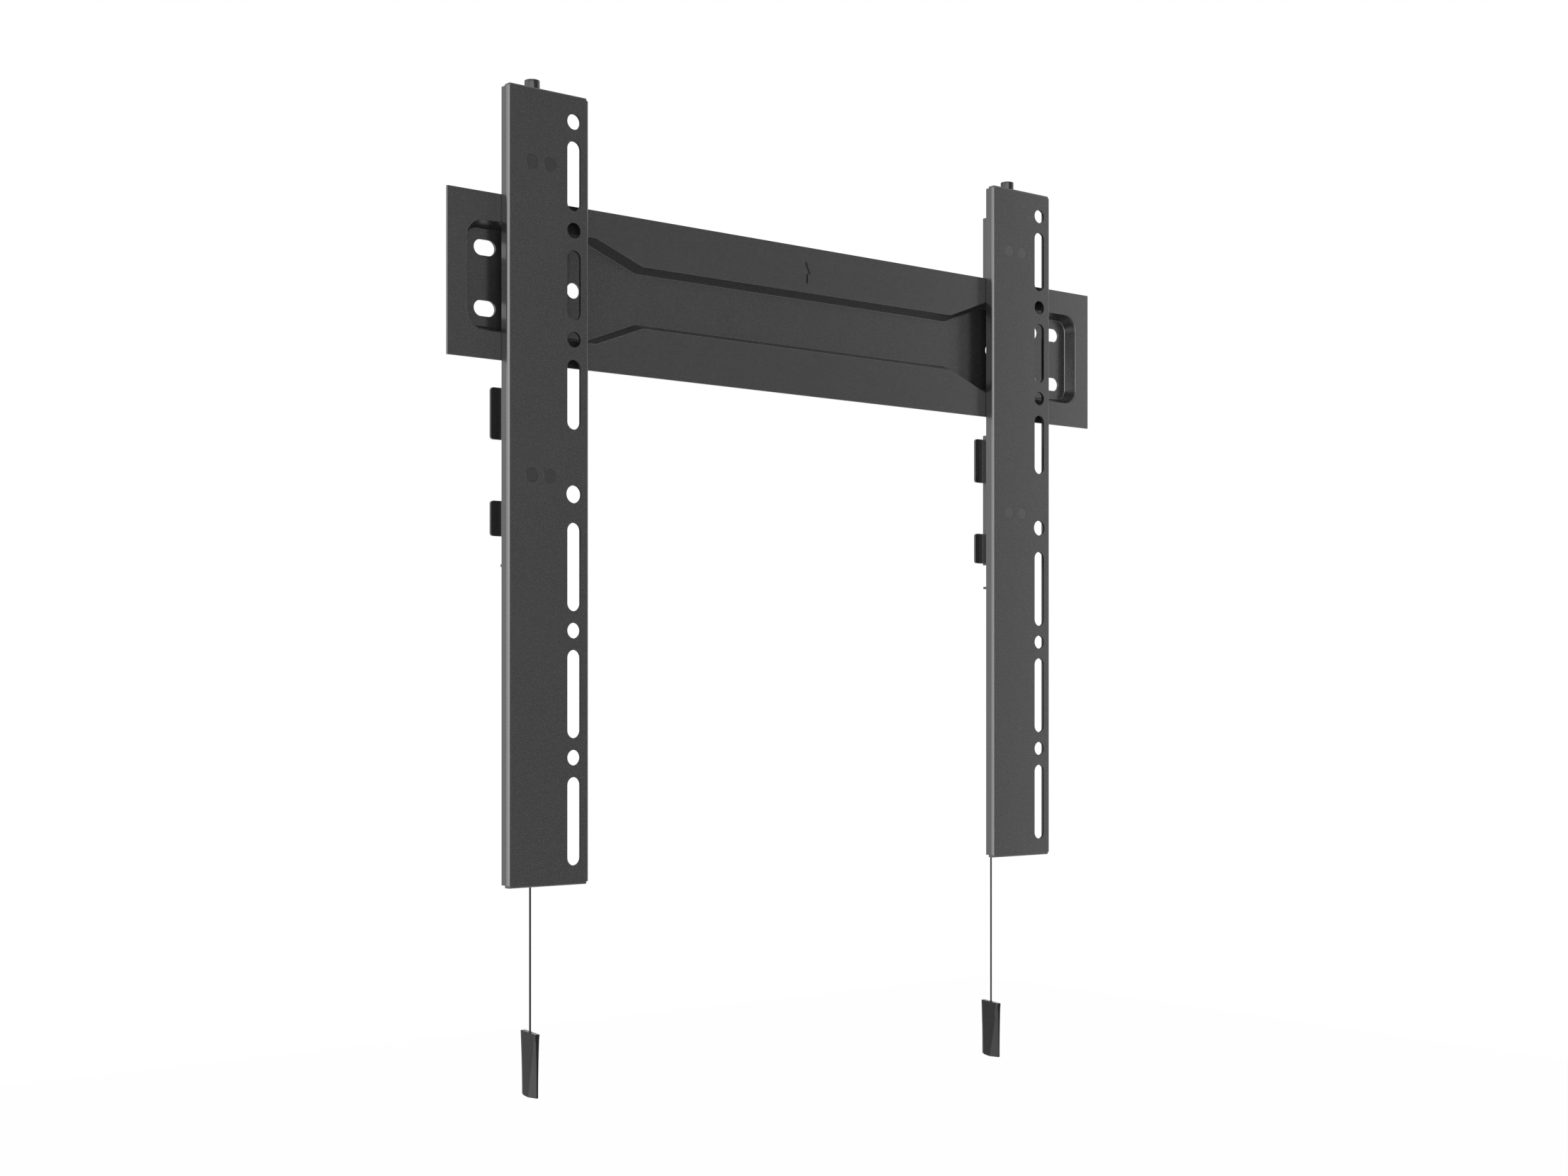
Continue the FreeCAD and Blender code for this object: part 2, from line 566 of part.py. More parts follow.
def rivets(side, x, at, backing, word):
    """A pair of rivets through the arm and the bracket behind it, flush with the face."""
    pieces = []
    reach = SHEET_T + backing + RIVET_T / 2
    for number, rivet_x in enumerate((RIVET_A, RIVET_B)):
        tag = "%s_%s_rivet%d_" % (side, word, number)
        head = rod(tag + "head", x + rivet_x, FACE + RIVET_P, TOP - at, RIVET_HEAD,
                   RIVET_P - RIVET_SINK, FRONT_PLANE)
        shank = rod(tag + "shank", x + rivet_x, FACE + reach, TOP - at, RIVET_R,
                    reach - RIVET_P / 2, FRONT_PLANE)
        tail = rod(tag + "tail", x + rivet_x, FACE + SHEET_T + backing + RIVET_T, TOP - at,
                   RIVET_TAIL, RIVET_T, FRONT_PLANE)
        pieces.append(fuse(tag + "solid", [head, shank, tail]))
    finish(group("%s_%s_rivets" % (side, word), pieces), "%s_rivets_%s" % (word, side))


def foot_outline(name, y, x, z, width, height, r):
    """A foot with two rounded outer corners, drawn on the wall plane."""
    sketch = new_sketch(name, FRONT_PLANE, 0, y, 0)
    far = x + width
    add_outline(sketch, [(far, z), (far, z + height), (x, z + height, r), (x, z, r)])
    return sketch


def latch_case(side, x):
    """The riveted case that guides the latch and rests on the wall."""
    def name(word):
        return "%s_%s" % (side, word)

    left, right = x + CASE_X, x + CASE_X + CASE_W
    front, back = FACE + SHEET_T, FACE + CASE_D
    high, low = TOP - CASE_TOP, TOP - CASE_TOP - CASE_H
    channel = new_sketch(name("case_channel"), FLAT_PLANE, 0, 0, low)
    add_outline(channel, [
        (left, front, ARM_R), (right, front, ARM_R), (right, back), (right - SHEET_T, back),
        (right - SHEET_T, front + SHEET_T, ARM_RI), (left + SHEET_T, front + SHEET_T, ARM_RI),
        (left + SHEET_T, back), (left, back)])
    parts = [extrude(name("case_walls"), channel, (0, 0, 1), CASE_H)]
    corner = cell("%s_foot_corner" % side, 1.8, "corner radius of the feet, %s arm" % side)
    for tag, at, height in (("a", FOOT_A, FOOT_AH), ("b", FOOT_B, FOOT_BH)):
        z = TOP - at - height / 2
        sketch = foot_outline(name("foot_" + tag), -SHEET_T, x - FOOT_OUT, z,
                              FOOT_OUT + CASE_X + SHEET_T, height, corner)
        parts.append(extrude(name("foot_plate_" + tag), sketch, (0, 1, 0), SHEET_T))
        parts.append(box(name("foot_web_" + tag), left, back - 1, z, SHEET_T,
                         PROFILE - CASE_D + 1, height))
        parts.append(box(name("foot_in_" + tag), right - SHEET_T, -SHEET_T, z,
                         FOOT_IN + SHEET_T, SHEET_T, height))
        parts.append(box(name("foot_in_web_" + tag), right - SHEET_T, back - 1, z, SHEET_T,
                         PROFILE - CASE_D + 1, height))
    parts.append(box(name("case_tab"), left + SHEET_T + 0.8, front + SHEET_T / 2, low,
                     CASE_W - 2 * SHEET_T - 1.6, CASE_D - SHEET_T - 2, SHEET_T))
    rod_x, rod_y = x + ROD_X, FACE + LATCH_Y + LATCH_T / 2
    cuts = [rod(name("case_bore"), rod_x, rod_y, low - 1, ROD_R + GAP / 2, SHEET_T + 2)]
    holes = new_sketch(name("case_holes"), FRONT_PLANE, 0, front - 1, 0)
    for rivet_x in (RIVET_A, RIVET_B):
        add_circle(holes, x + rivet_x, TOP - RIVET_LOW, RIVET_R)
    cuts.append(extrude(name("case_drill"), holes, (0, 1, 0), SHEET_T + 2))
    ear_top = TOP - EAR_UP
    for tag, wall in (("left", left), ("right", right - SHEET_T)):
        cuts.append(box(name("case_window_" + tag), wall - 1, FACE + LATCH_Y - GAP,
                        ear_top - EAR_H - TRAVEL - GAP, SHEET_T + 2, LATCH_T + 2 * GAP,
                        EAR_H + TRAVEL + 2 * GAP))
    body = fuse(name("case_body"), parts)
    finish(cut(name("case_solid"), body, cuts), "latch_case_" + side)


def latch(side, x):
    """The latch slide with its rod and its spring."""
    def name(word):
        return "%s_%s" % (side, word)

    left, right = x + CASE_X, x + CASE_X + CASE_W
    middle = x + ROD_X
    y = FACE + LATCH_Y
    hook_top = PLATE_LOW + LATCH_UP
    shoulder = TOP - CASE_TOP - 4
    ear_top, ear_low = TOP - EAR_UP, TOP - EAR_UP - EAR_H
    end = TOP - LATCH_END
    near, far = left + SHEET_T + GAP, right - SHEET_T - GAP
    ears = 0.8
    sketch = new_sketch(name("latch_outline"), FRONT_PLANE, 0, y, 0)
    add_outline(sketch, [
        (near, end), (far, end), (far, ear_low), (right + ears, ear_low),
        (right + ears, ear_top), (far, ear_top), (far, shoulder),
        (middle + LATCH_N, shoulder), (middle + LATCH_N, hook_top),
        (middle - LATCH_N, hook_top), (middle - LATCH_N, shoulder), (near, shoulder),
        (near, ear_top), (left - ears, ear_top), (left - ears, ear_low), (near, ear_low)])
    plate = extrude(name("latch_plate"), sketch, (0, 1, 0), LATCH_T)
    wedge = new_sketch(name("latch_wedge"), SIDE_PLANE, middle - LATCH_N - 1, 0, 0)
    add_outline(wedge, [(y - 1, hook_top - 1), (y + LATCH_T * 0.6, hook_top + 1),
                        (y - 1, hook_top + 1)])
    lead = extrude(name("latch_lead"), wedge, (1, 0, 0), 2 * LATCH_N + 2)
    finish(cut(name("latch_solid"), plate, [lead]), "latch_slide_" + side)

    rod_y = y + LATCH_T / 2
    bar_top = TOP - ROD_END + BAR_T
    head = rod(name("rod_head"), middle, rod_y, end - 2, ROD_HEAD, Size.of(2))
    stem = rod(name("rod_stem"), middle, rod_y, bar_top - BAR_T - 1,
               ROD_R, end - bar_top + BAR_T)
    foot = rod(name("rod_foot"), middle, rod_y, bar_top - BAR_T - 1, ROD_R + 0.9, Size.of(1))
    finish(fuse(name("rod_solid"), [head, stem, foot]), "latch_rod_" + side)

    spring_low = TOP - CASE_TOP - CASE_H + SHEET_T
    helix = DOC.addObject("Part::Helix", name("spring_path"))
    bind(helix, "Radius", SPRING_R)
    bind(helix, "Pitch", PITCH)
    helix.Height = (end - 2 - spring_low - 2 * WIRE_R).value
    bind(helix, "Height", end - 2 - spring_low - 2 * WIRE_R)
    place(helix, middle, rod_y, spring_low + WIRE_R)
    wire = DOC.addObject("Part::RegularPolygon", name("spring_wire"))
    wire.Polygon = 6
    bind(wire, "Circumradius", WIRE_R)
    place(wire, middle + SPRING_R, rod_y, spring_low + WIRE_R, FRONT_PLANE)
    spring = DOC.addObject("Part::Sweep", name("spring_solid"))
    spring.Sections = [wire]
    spring.Spine = (helix, ["Edge1"])
    spring.Solid = True
    spring.Frenet = True
    finish(spring, "latch_spring_" + side)


def pull(side, x, hole, drop):
    """The cord bar, its cord, the crimp on the cord and the pull handle."""
    def name(word):
        return "%s_%s" % (side, word)

    rod_x, rod_y = x + ROD_X, FACE + LATCH_Y + LATCH_T / 2
    cord_x, cord_y = x + CORD_MID + hole * CORD_STEP, FACE + CORD_Y
    bar_top = TOP - ROD_END + BAR_T
    bar = box(name("bar_strip"), x + BAR_X, cord_y - BAR_W + 1, bar_top - BAR_T,
              BAR_L, 2 * BAR_W, BAR_T)
    cuts = [rod(name("bar_bore"), rod_x, rod_y, bar_top - BAR_T - 1, ROD_R, BAR_T + 2)]
    for number in (-1, 0, 1):
        cuts.append(rod(name("bar_hole_%d" % (number + 2)), x + CORD_MID + number * CORD_STEP,
                        cord_y, bar_top - BAR_T - 1, CORD_R + 0.1, BAR_T + 2))
    finish(cut(name("bar_solid"), bar, cuts), "cord_bar_" + side)

    sleeve = rod(name("crimp_sleeve"), cord_x, cord_y, bar_top, CRIMP_R, CRIMP_H)
    inner = rod(name("crimp_bore"), cord_x, cord_y, bar_top - 1, CORD_R, CRIMP_H + 2)
    finish(cut(name("crimp_solid"), sleeve, [inner]), "cord_crimp_" + side)

    grip_top = BOTTOM - drop
    cord_end = grip_top - 4
    finish(rod(name("cord_line"), cord_x, cord_y, cord_end, CORD_R,
               bar_top + CRIMP_H + CORD_R - cord_end), "pull_cord_" + side)
    handle(side, cord_x, cord_y, grip_top, cord_end)


def handle(side, cord_x, cord_y, grip_top, cord_end):
    """A flat handle whose four upright edges open into long facets."""
    def name(word):
        return "%s_%s" % (side, word)

    thick, wide = GRIP_T / 2, GRIP_W / 2
    grip_low = grip_top - GRIP_H - GRIP_BOW
    waist_down, waist_depth = 0.4, 0.62
    levels = (("top", grip_top, GRIP_EDGE, GRIP_EDGE * 2),
              ("waist", grip_top - (GRIP_H + GRIP_BOW) * waist_down, FACET_T * waist_depth,
               FACET_W * waist_down),
              ("end", grip_low, FACET_T, FACET_W))
    sections = []
    for tag, z, across, along in levels:
        sketch = new_sketch(name("grip_" + tag), FLAT_PLANE, cord_x, cord_y, z)
        corners = []
        for su, sv in ((1, 1), (-1, 1), (-1, -1), (1, -1)):
            pair = [(su * (thick - across), sv * wide), (su * thick, sv * (wide - along))]
            corners += pair if su * sv < 0 else pair[::-1]
        sections.append(add_outline(sketch, corners))
    loft = DOC.addObject("Part::Loft", name("grip_loft"))
    loft.Sections = sections
    loft.Solid = True
    loft.Ruled = False
    collar = DOC.addObject("Part::Cone", name("grip_collar"))
    bind(collar, "Radius1", CORD_R * 2.2)
    bind(collar, "Radius2", CORD_R * 1.3)
    bind(collar, "Height", COLLAR_H)
    place(collar, cord_x, cord_y, grip_top)
    bow_r = GRIP_W * GRIP_W / (8 * GRIP_BOW) + GRIP_BOW / 2
    side_x = cord_x - GRIP_T / 2 - 1
    below = box(name("grip_below"), side_x, cord_y - GRIP_W / 2 - 1, grip_low - 1,
                GRIP_T + 2, GRIP_W + 2, GRIP_BOW + 1)
    round_end = rod(name("grip_round"), side_x - 1, cord_y, grip_low + bow_r, bow_r, GRIP_T + 4,
                    FreeCAD.Rotation(V(0, 1, 0), 90))
    under = cut(name("grip_under"), below, [round_end])
    bore = rod(name("grip_bore"), cord_x, cord_y, cord_end, CORD_R, COLLAR_H + 8)
    grip = fuse(name("grip_body"), [loft, collar])
    finish(cut(name("grip_solid"), grip, [under, bore]), "pull_handle_" + side)


wall_plate()
for word, edge, hole, drop in (("left", LEFT_X, 0, DROP_L), ("right", RIGHT_X, -1, DROP_R)):
    arm(word, edge)
    hook_bracket(word, edge)
    level_screw(word, edge)
    rivets(word, edge, RIVET_UP, HOOK_SLACK + SHEET_T + GAP, "upper")
    latch_case(word, edge)
    rivets(word, edge, RIVET_LOW, SHEET_T, "lower")
    latch(word, edge)
    pull(word, edge, hole, drop)
DOC.recompute()

os.makedirs("parts", exist_ok=True)
problems = []
for obj in DOC.Objects:
    if "Invalid" in obj.State or "Error" in obj.State:
        problems.append("%s: %s" % (obj.Name, obj.State))
if problems:
    raise RuntimeError("; ".join(problems))
for obj in FINISHED:
    shape = obj.Shape
    if shape.isNull() or not shape.isValid() or shape.Volume <= 0:
        problems.append("%s: bad shape" % obj.Label)
    print("%-24s solids %d volume %.1f" % (obj.Label, len(shape.Solids), shape.Volume))
if problems:
    raise RuntimeError("; ".join(problems))
for obj in FINISHED:
    obj.Shape.exportStep("parts/%s.step" % obj.Label)
print("parts written:", len(FINISHED))
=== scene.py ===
"""Looks of a slim fixed television wall bracket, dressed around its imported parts.

The bracket is a pressed wall plate with two hook-on arms, level screws, spring
latches and pull cords. Lengths are metres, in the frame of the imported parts:
X along the wall plate, Y into the wall, Z up.
"""
import logging
import math
from dataclasses import dataclass, field
from enum import Enum
from typing import ClassVar

import bmesh
import bpy
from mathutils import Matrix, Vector


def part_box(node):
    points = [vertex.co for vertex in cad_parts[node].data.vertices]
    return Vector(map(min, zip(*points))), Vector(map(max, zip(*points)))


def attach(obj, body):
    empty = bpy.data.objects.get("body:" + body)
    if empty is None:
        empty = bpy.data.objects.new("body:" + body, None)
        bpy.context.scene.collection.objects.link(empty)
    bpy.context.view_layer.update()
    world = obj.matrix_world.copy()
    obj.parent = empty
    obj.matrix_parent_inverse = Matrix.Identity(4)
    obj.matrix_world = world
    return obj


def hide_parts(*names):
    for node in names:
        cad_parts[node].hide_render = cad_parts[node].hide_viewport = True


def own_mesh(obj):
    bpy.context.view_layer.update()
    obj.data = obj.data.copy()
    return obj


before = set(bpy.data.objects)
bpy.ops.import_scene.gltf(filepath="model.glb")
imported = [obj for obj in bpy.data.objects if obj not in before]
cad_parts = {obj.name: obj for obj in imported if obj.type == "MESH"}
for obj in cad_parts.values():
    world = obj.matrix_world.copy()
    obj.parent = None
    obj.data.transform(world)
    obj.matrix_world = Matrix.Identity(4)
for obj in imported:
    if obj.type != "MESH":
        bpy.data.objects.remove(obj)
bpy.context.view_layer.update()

LOG = logging.getLogger("wall_bracket")
MM = 0.001
# Edges at which the surface turns by more degrees than this are real edges.
SHARP_TURN = 35.0

Colour = tuple[float, float, float, float]
Material = bpy.types.Material
Socket = bpy.types.NodeSocket


class Side(Enum):
    """The two arms, named as seen from the room."""

    LEFT = "left"
    RIGHT = "right"

    def node(self, word: str) -> str:
        """Returns the name of this side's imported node."""
        return f"{word}_{self.value}"

    def body(self, word: str) -> str:
        """Returns the name of this side's moving body."""
        return f"{self.value}_{word}"


@dataclass(frozen=True)
class Region:
    """An upright rectangle of the bracket, as seen from the room.

    Attributes:
        low: Lowest corner, of which X and Z count.
        high: Highest corner, of which X and Z count.
    """

    low: Vector
    high: Vector

    def holds(self, point: Vector) -> bool:
        """Tells whether a point lies within the rectangle, at any depth."""
        return self.low.x < point.x < self.high.x and self.low.z < point.z < self.high.z


def grey(level: float, warmth: float = 0.0) -> Colour:
    """Returns an opaque grey, a little warmer or cooler than neutral."""
    return (level * (1 + warmth), level, level * (1 - warmth), 1.0)


class MaterialGraph:
    """A small builder for one node material.

    Attributes:
        PATTERN_RANGE: Range in which nearly all values of a noise pattern lie.
    """

    PATTERN_RANGE: ClassVar[tuple[float, float]] = (0.3, 0.7)

    def __init__(self, name: str) -> None:
        """Makes the material and its empty graph.

        Args:
            name: Name of the material.
        """
        self.material = bpy.data.materials.new(name)
        self.material.use_nodes = True
        self.tree = self.material.node_tree
        self.tree.nodes.clear()
        self.output = self.tree.nodes.new("ShaderNodeOutputMaterial")
        self.shader = self.tree.nodes.new("ShaderNodeBsdfPrincipled")
        self.link(self.shader.outputs["BSDF"], self.output.inputs["Surface"])
        self.coordinates = self.tree.nodes.new("ShaderNodeTexCoord").outputs["Object"]

    def link(self, source: Socket, target: Socket) -> None:
        """Joins two sockets."""
        self.tree.links.new(source, target)

    def noise(self, grain: float, detail: float = 2.0, roughness: float = 0.5) -> Socket:
        """Adds a noise pattern on the piece's own coordinates.

        Args:
            grain: Size of one grain in metres.
            detail: Number of finer layers.
            roughness: Strength of the finer layers.

        Returns:
            The pattern's value, from 0 to 1.
        """
        texture = self.tree.nodes.new("ShaderNodeTexNoise")
        texture.inputs["Scale"].default_value = 1 / grain
        texture.inputs["Detail"].default_value = detail
        texture.inputs["Roughness"].default_value = roughness
        self.link(self.coordinates, texture.inputs["Vector"])
        return texture.outputs["Fac"]

    def colour(self, value: Socket, dark: Colour, light: Colour) -> None:
        """Colours the surface by a pattern.

        Args:
            value: The pattern.
            dark: Colour where the pattern is low.
            light: Colour where the pattern is high.
        """
        ramp = self.tree.nodes.new("ShaderNodeValToRGB")
        for stop, place, shade in zip(ramp.color_ramp.elements, self.PATTERN_RANGE, (dark, light)):
            stop.position = place
            stop.color = shade
        self.link(value, ramp.inputs["Fac"])
        self.link(ramp.outputs["Color"], self.shader.inputs["Base Color"])

    def roughen(self, value: Socket, low: float, high: float) -> None:
        """Sets the roughness of the surface by a pattern.

        Args:
            value: The pattern.
            low: Roughness where the pattern is low.
            high: Roughness where the pattern is high.
        """
        mapped = self.tree.nodes.new("ShaderNodeMapRange")
        limits = (*self.PATTERN_RANGE, low, high)
        for socket, limit in zip(("From Min", "From Max", "To Min", "To Max"), limits):
            mapped.inputs[socket].default_value = limit
        self.link(value, mapped.inputs["Value"])
        self.link(mapped.outputs["Result"], self.shader.inputs["Roughness"])

    def bump(self, height: Socket, strength: float, depth: float) -> None:
        """Raises the surface by a height pattern.

        Args:
            height: The pattern.
            strength: Share of the effect.
            depth: Height of the pattern in metres.
        """
        node = self.tree.nodes.new("ShaderNodeBump")
        node.inputs["Strength"].default_value = strength
        node.inputs["Distance"].default_value = depth
        self.link(height, node.inputs["Height"])
        self.link(node.outputs["Normal"], self.shader.inputs["Normal"])


@dataclass(frozen=True)
class PowderCoat:
    """Black powder coat on sheet steel: half gloss, with a faint grain.

    Attributes:
        name: Name of the material.
        level: Grey level of the coat.
        gloss: Middle roughness of the surface.
        index: Refractive index of the clear upper layer.
        grain: Size of the grain in metres.
        relief: Height of the grain in metres.
        DETAIL: Number of finer layers in both patterns.
        CLOUD: Size of the slow changes of the grey in metres.
        CLOUD_ROUGHNESS: Strength of the finer layers of those changes.
        SHADES: Darkest and lightest share of the grey level.
        GLOSS_CHANGE: How far the roughness leaves its middle.
        RELIEF_SHARE: Share of the relief that shows.
    """

    name: str
    level: float = 0.012
    gloss: float = 0.27
    index: float = 1.74
    grain: float = 0.45 * MM
    relief: float = 0.001 * MM

    DETAIL: ClassVar[float] = 3.0
    CLOUD: ClassVar[float] = 35 * MM
    CLOUD_ROUGHNESS: ClassVar[float] = 0.6
    SHADES: ClassVar[tuple[float, float]] = (0.93, 1.07)
    GLOSS_CHANGE: ClassVar[float] = 0.02
    RELIEF_SHARE: ClassVar[float] = 0.6

    def material(self) -> Material:
        """Makes the material.

        Returns:
            The finished material.
        """
        graph = MaterialGraph(self.name)
        fine = graph.noise(self.grain, self.DETAIL)
        broad = graph.noise(self.CLOUD, self.DETAIL, self.CLOUD_ROUGHNESS)
        graph.colour(broad, *(grey(self.level * share) for share in self.SHADES))
        graph.roughen(fine, self.gloss - self.GLOSS_CHANGE, self.gloss + self.GLOSS_CHANGE)
        graph.shader.inputs["IOR"].default_value = self.index
        graph.bump(fine, self.RELIEF_SHARE, self.relief)
        return graph.material


@dataclass(frozen=True)
class Plastic:
    """Polished black plastic, smooth apart from a very slight flow pattern.

    Attributes:
        name: Name of the material.
        level: Grey level.
        index: Refractive index.
        FLOW: Size of the flow pattern in metres.
        SHADES: Darkest and lightest share of the grey level.
        GLOSS: Lowest and highest roughness.
        GRAIN: Size of the grain in metres.
        GRAIN_DETAIL: Number of finer layers of the grain.
        RELIEF: Height of the grain in metres.
        RELIEF_SHARE: Share of the relief that shows.
    """

    name: str
    level: float = 0.008
    index: float = 1.3

    FLOW: ClassVar[float] = 4 * MM
    SHADES: ClassVar[tuple[float, float]] = (0.94, 1.06)
    GLOSS: ClassVar[tuple[float, float]] = (0.14, 0.19)
    GRAIN: ClassVar[float] = 0.6 * MM
    GRAIN_DETAIL: ClassVar[float] = 1.0
    RELIEF: ClassVar[float] = 0.002 * MM
    RELIEF_SHARE: ClassVar[float] = 0.3

    def material(self) -> Material:
        """Makes the material.

        Returns:
            The finished material.
        """
        graph = MaterialGraph(self.name)
        flow = graph.noise(self.FLOW)
        graph.colour(flow, *(grey(self.level * share) for share in self.SHADES))
        graph.roughen(flow, *self.GLOSS)
        graph.shader.inputs["IOR"].default_value = self.index
        graph.bump(graph.noise(self.GRAIN, self.GRAIN_DETAIL), self.RELIEF_SHARE, self.RELIEF)
        return graph.material


@dataclass(frozen=True)
class ZincPlate:
    """Dull zinc plating with a fine crystalline mottle.

    Attributes:
        name: Name of the material.
        level: Grey level of the metal.
        CRYSTAL: Size of the crystals in metres.
        CRYSTAL_DETAIL: Number of finer layers in them.
        DARK_SHARE: Share of the grey level in the darkest crystals.
        WARMTH: How warm the dark crystals are, and how cool the light ones.
        GLOSS: Lowest and highest roughness.
        GRAIN: Size of the grain in metres.
        RELIEF: Height of the grain in metres.
        RELIEF_SHARE: Share of the relief that shows.
    """

    name: str
    level: float = 0.5

    CRYSTAL: ClassVar[float] = 0.9 * MM
    CRYSTAL_DETAIL: ClassVar[float] = 3.0
    DARK_SHARE: ClassVar[float] = 0.85
    WARMTH: ClassVar[float] = 0.01
    GLOSS: ClassVar[tuple[float, float]] = (0.28, 0.42)
    GRAIN: ClassVar[float] = 0.25 * MM
    RELIEF: ClassVar[float] = 0.004 * MM
    RELIEF_SHARE: ClassVar[float] = 0.4

    def material(self) -> Material:
        """Makes the material.

        Returns:
            The finished material.
        """
        graph = MaterialGraph(self.name)
        crystals = graph.noise(self.CRYSTAL, self.CRYSTAL_DETAIL)
        graph.colour(crystals, grey(self.level * self.DARK_SHARE, self.WARMTH),
                     grey(self.level, -self.WARMTH))
        graph.roughen(crystals, *self.GLOSS)
        graph.shader.inputs["Metallic"].default_value = 1.0
        graph.bump(graph.noise(self.GRAIN), self.RELIEF_SHARE, self.RELIEF)
        return graph.material


@dataclass(frozen=True)
class BraidedCord:
    """Black braided nylon cord: two crossing sets of fine ribs.

    Attributes:
        name: Name of the material.
        level: Grey level of the yarn.
        rib: Distance between two ribs in metres.
        TILTS: Directions of the two sets of ribs in degrees.
        BAND: Scale of a band pattern whose bands are one metre apart.
        SHADES: Darkest and lightest share of the grey level.
        GLOSS: Roughness of the yarn.
        INDEX: Refractive index of the yarn.
        RELIEF: Height of the ribs in metres.
        RELIEF_SHARE: Share of the relief that shows.
    """

    name: str
    level: float = 0.008
    rib: float = 0.5 * MM

    TILTS: ClassVar[tuple[float, float]] = (-45, 45)
    BAND: ClassVar[float] = 0.314
    SHADES: ClassVar[tuple[float, float]] = (0.9, 1.1)
    GLOSS: ClassVar[float] = 0.2
    INDEX: ClassVar[float] = 1.25
    RELIEF: ClassVar[float] = 0.003 * MM
    RELIEF_SHARE: ClassVar[float] = 0.4

    def material(self) -> Material:
        """Makes the material.

        Returns:
            The finished material.
        """
        graph = MaterialGraph(self.name)
        first, second = (self.ribs(graph, tilt) for tilt in self.TILTS)
        weave = graph.tree.nodes.new("ShaderNodeMath")
        weave.operation = "MAXIMUM"
        graph.link(first, weave.inputs[0])
        graph.link(second, weave.inputs[1])
        braid = weave.outputs["Value"]
        graph.colour(braid, *(grey(self.level * share) for share in self.SHADES))
        graph.shader.inputs["Roughness"].default_value = self.GLOSS
        graph.shader.inputs["IOR"].default_value = self.INDEX
        graph.bump(braid, self.RELIEF_SHARE, self.RELIEF)
        return graph.material

    def ribs(self, graph: MaterialGraph, tilt: float) -> Socket:
        """Adds one set of ribs.

        Args:
            graph: Graph of the material.
            tilt: Direction of the ribs in degrees.

        Returns:
            The height of the ribs, from 0 to 1.
        """
        turn = graph.tree.nodes.new("ShaderNodeMapping")
        turn.inputs["Rotation"].default_value = (math.radians(tilt), math.radians(tilt), 0)
        graph.link(graph.coordinates, turn.inputs["Vector"])
        wave = graph.tree.nodes.new("ShaderNodeTexWave")
        wave.bands_direction = "Z"
        wave.inputs["Scale"].default_value = self.BAND / self.rib
        graph.link(turn.outputs["Vector"], wave.inputs["Vector"])
        return wave.outputs["Fac"]


@dataclass(frozen=True)
class Finishes:
    """All finishes of the bracket, made once and shared by the pieces.

    Attributes:
        plate: Coat of the wall plate.
        arm: Coat of the arms.
        inner: Coat of the sheets behind the arms.
        painted_hole_shade: Near-black dull coat on the walls of holes and of the pressed arrow:
            painted shade.
        rivet: Coat of the left arm's rivets.
        painted_light_rivet: Lighter, lit copy of the rivet coat for the right arm's rivets:
            painted light.
        zinc: Plating of screws, nuts, rods, rings and springs.
        knob: Plastic of the knobs.
        handle: Plastic of the handles.
        cord: Yarn of the cords.
    """

    plate: Material = field(default_factory=PowderCoat("plate_powder_coat").material)
    arm: Material = field(default_factory=PowderCoat("arm_powder_coat").material)
    inner: Material = field(default_factory=PowderCoat("inner_powder_coat", level=0.01).material)
    # Painted shade: a near-black, dull coat that darkens the walls of holes and of the pressed
    # arrow.
    painted_hole_shade: Material = field(default_factory=PowderCoat(
        "painted_hole_shade_coat", level=0.005, gloss=0.5, index=1.25).material)
    rivet: Material = field(default_factory=PowderCoat(
        "rivet_powder_coat", level=0.008, gloss=0.15, grain=2.2 * MM, relief=0.045 * MM).material)
    # Painted light: a lighter copy of the rivet coat, for the more brightly lit right arm.
    painted_light_rivet: Material = field(default_factory=PowderCoat(
        "painted_light_rivet_powder_coat", level=0.014, gloss=0.3, index=1.8, grain=2.2 * MM,
        relief=0.03 * MM).material)
    zinc: Material = field(default_factory=ZincPlate("zinc_plate").material)
    knob: Material = field(default_factory=Plastic(
        "knob_plastic", level=0.01, index=1.42).material)
    handle: Material = field(default_factory=Plastic("handle_plastic").material)
    cord: Material = field(default_factory=BraidedCord("braided_cord").material)


def turn_at(edge: bmesh.types.BMEdge) -> float:
    """Returns by how many degrees the surface turns at an edge, 0 at an open edge."""
    return math.degrees(edge.calc_face_angle(0.0))


def add_piece(name: str, mesh: bpy.types.Mesh, body: str, finish: Material,
              slot: str) -> bpy.types.Object:
    """Adds a finished mesh to the scene as a piece of a body.

    Args:
        name: Name of the piece.
        mesh: The mesh, with its place in its vertices.
        body: Body that the piece moves with.
        finish: Material of the piece.
        slot: Material slot of the record that the finish stands for; not used.

    Returns:
        The new object.
    """
    mesh.materials.clear()
    mesh.materials.append(finish)
    piece = bpy.data.objects.new(name, mesh)
    bpy.context.scene.collection.objects.link(piece)
    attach(piece, body)
    LOG.info("%s rides on %s", name, body)
    return piece


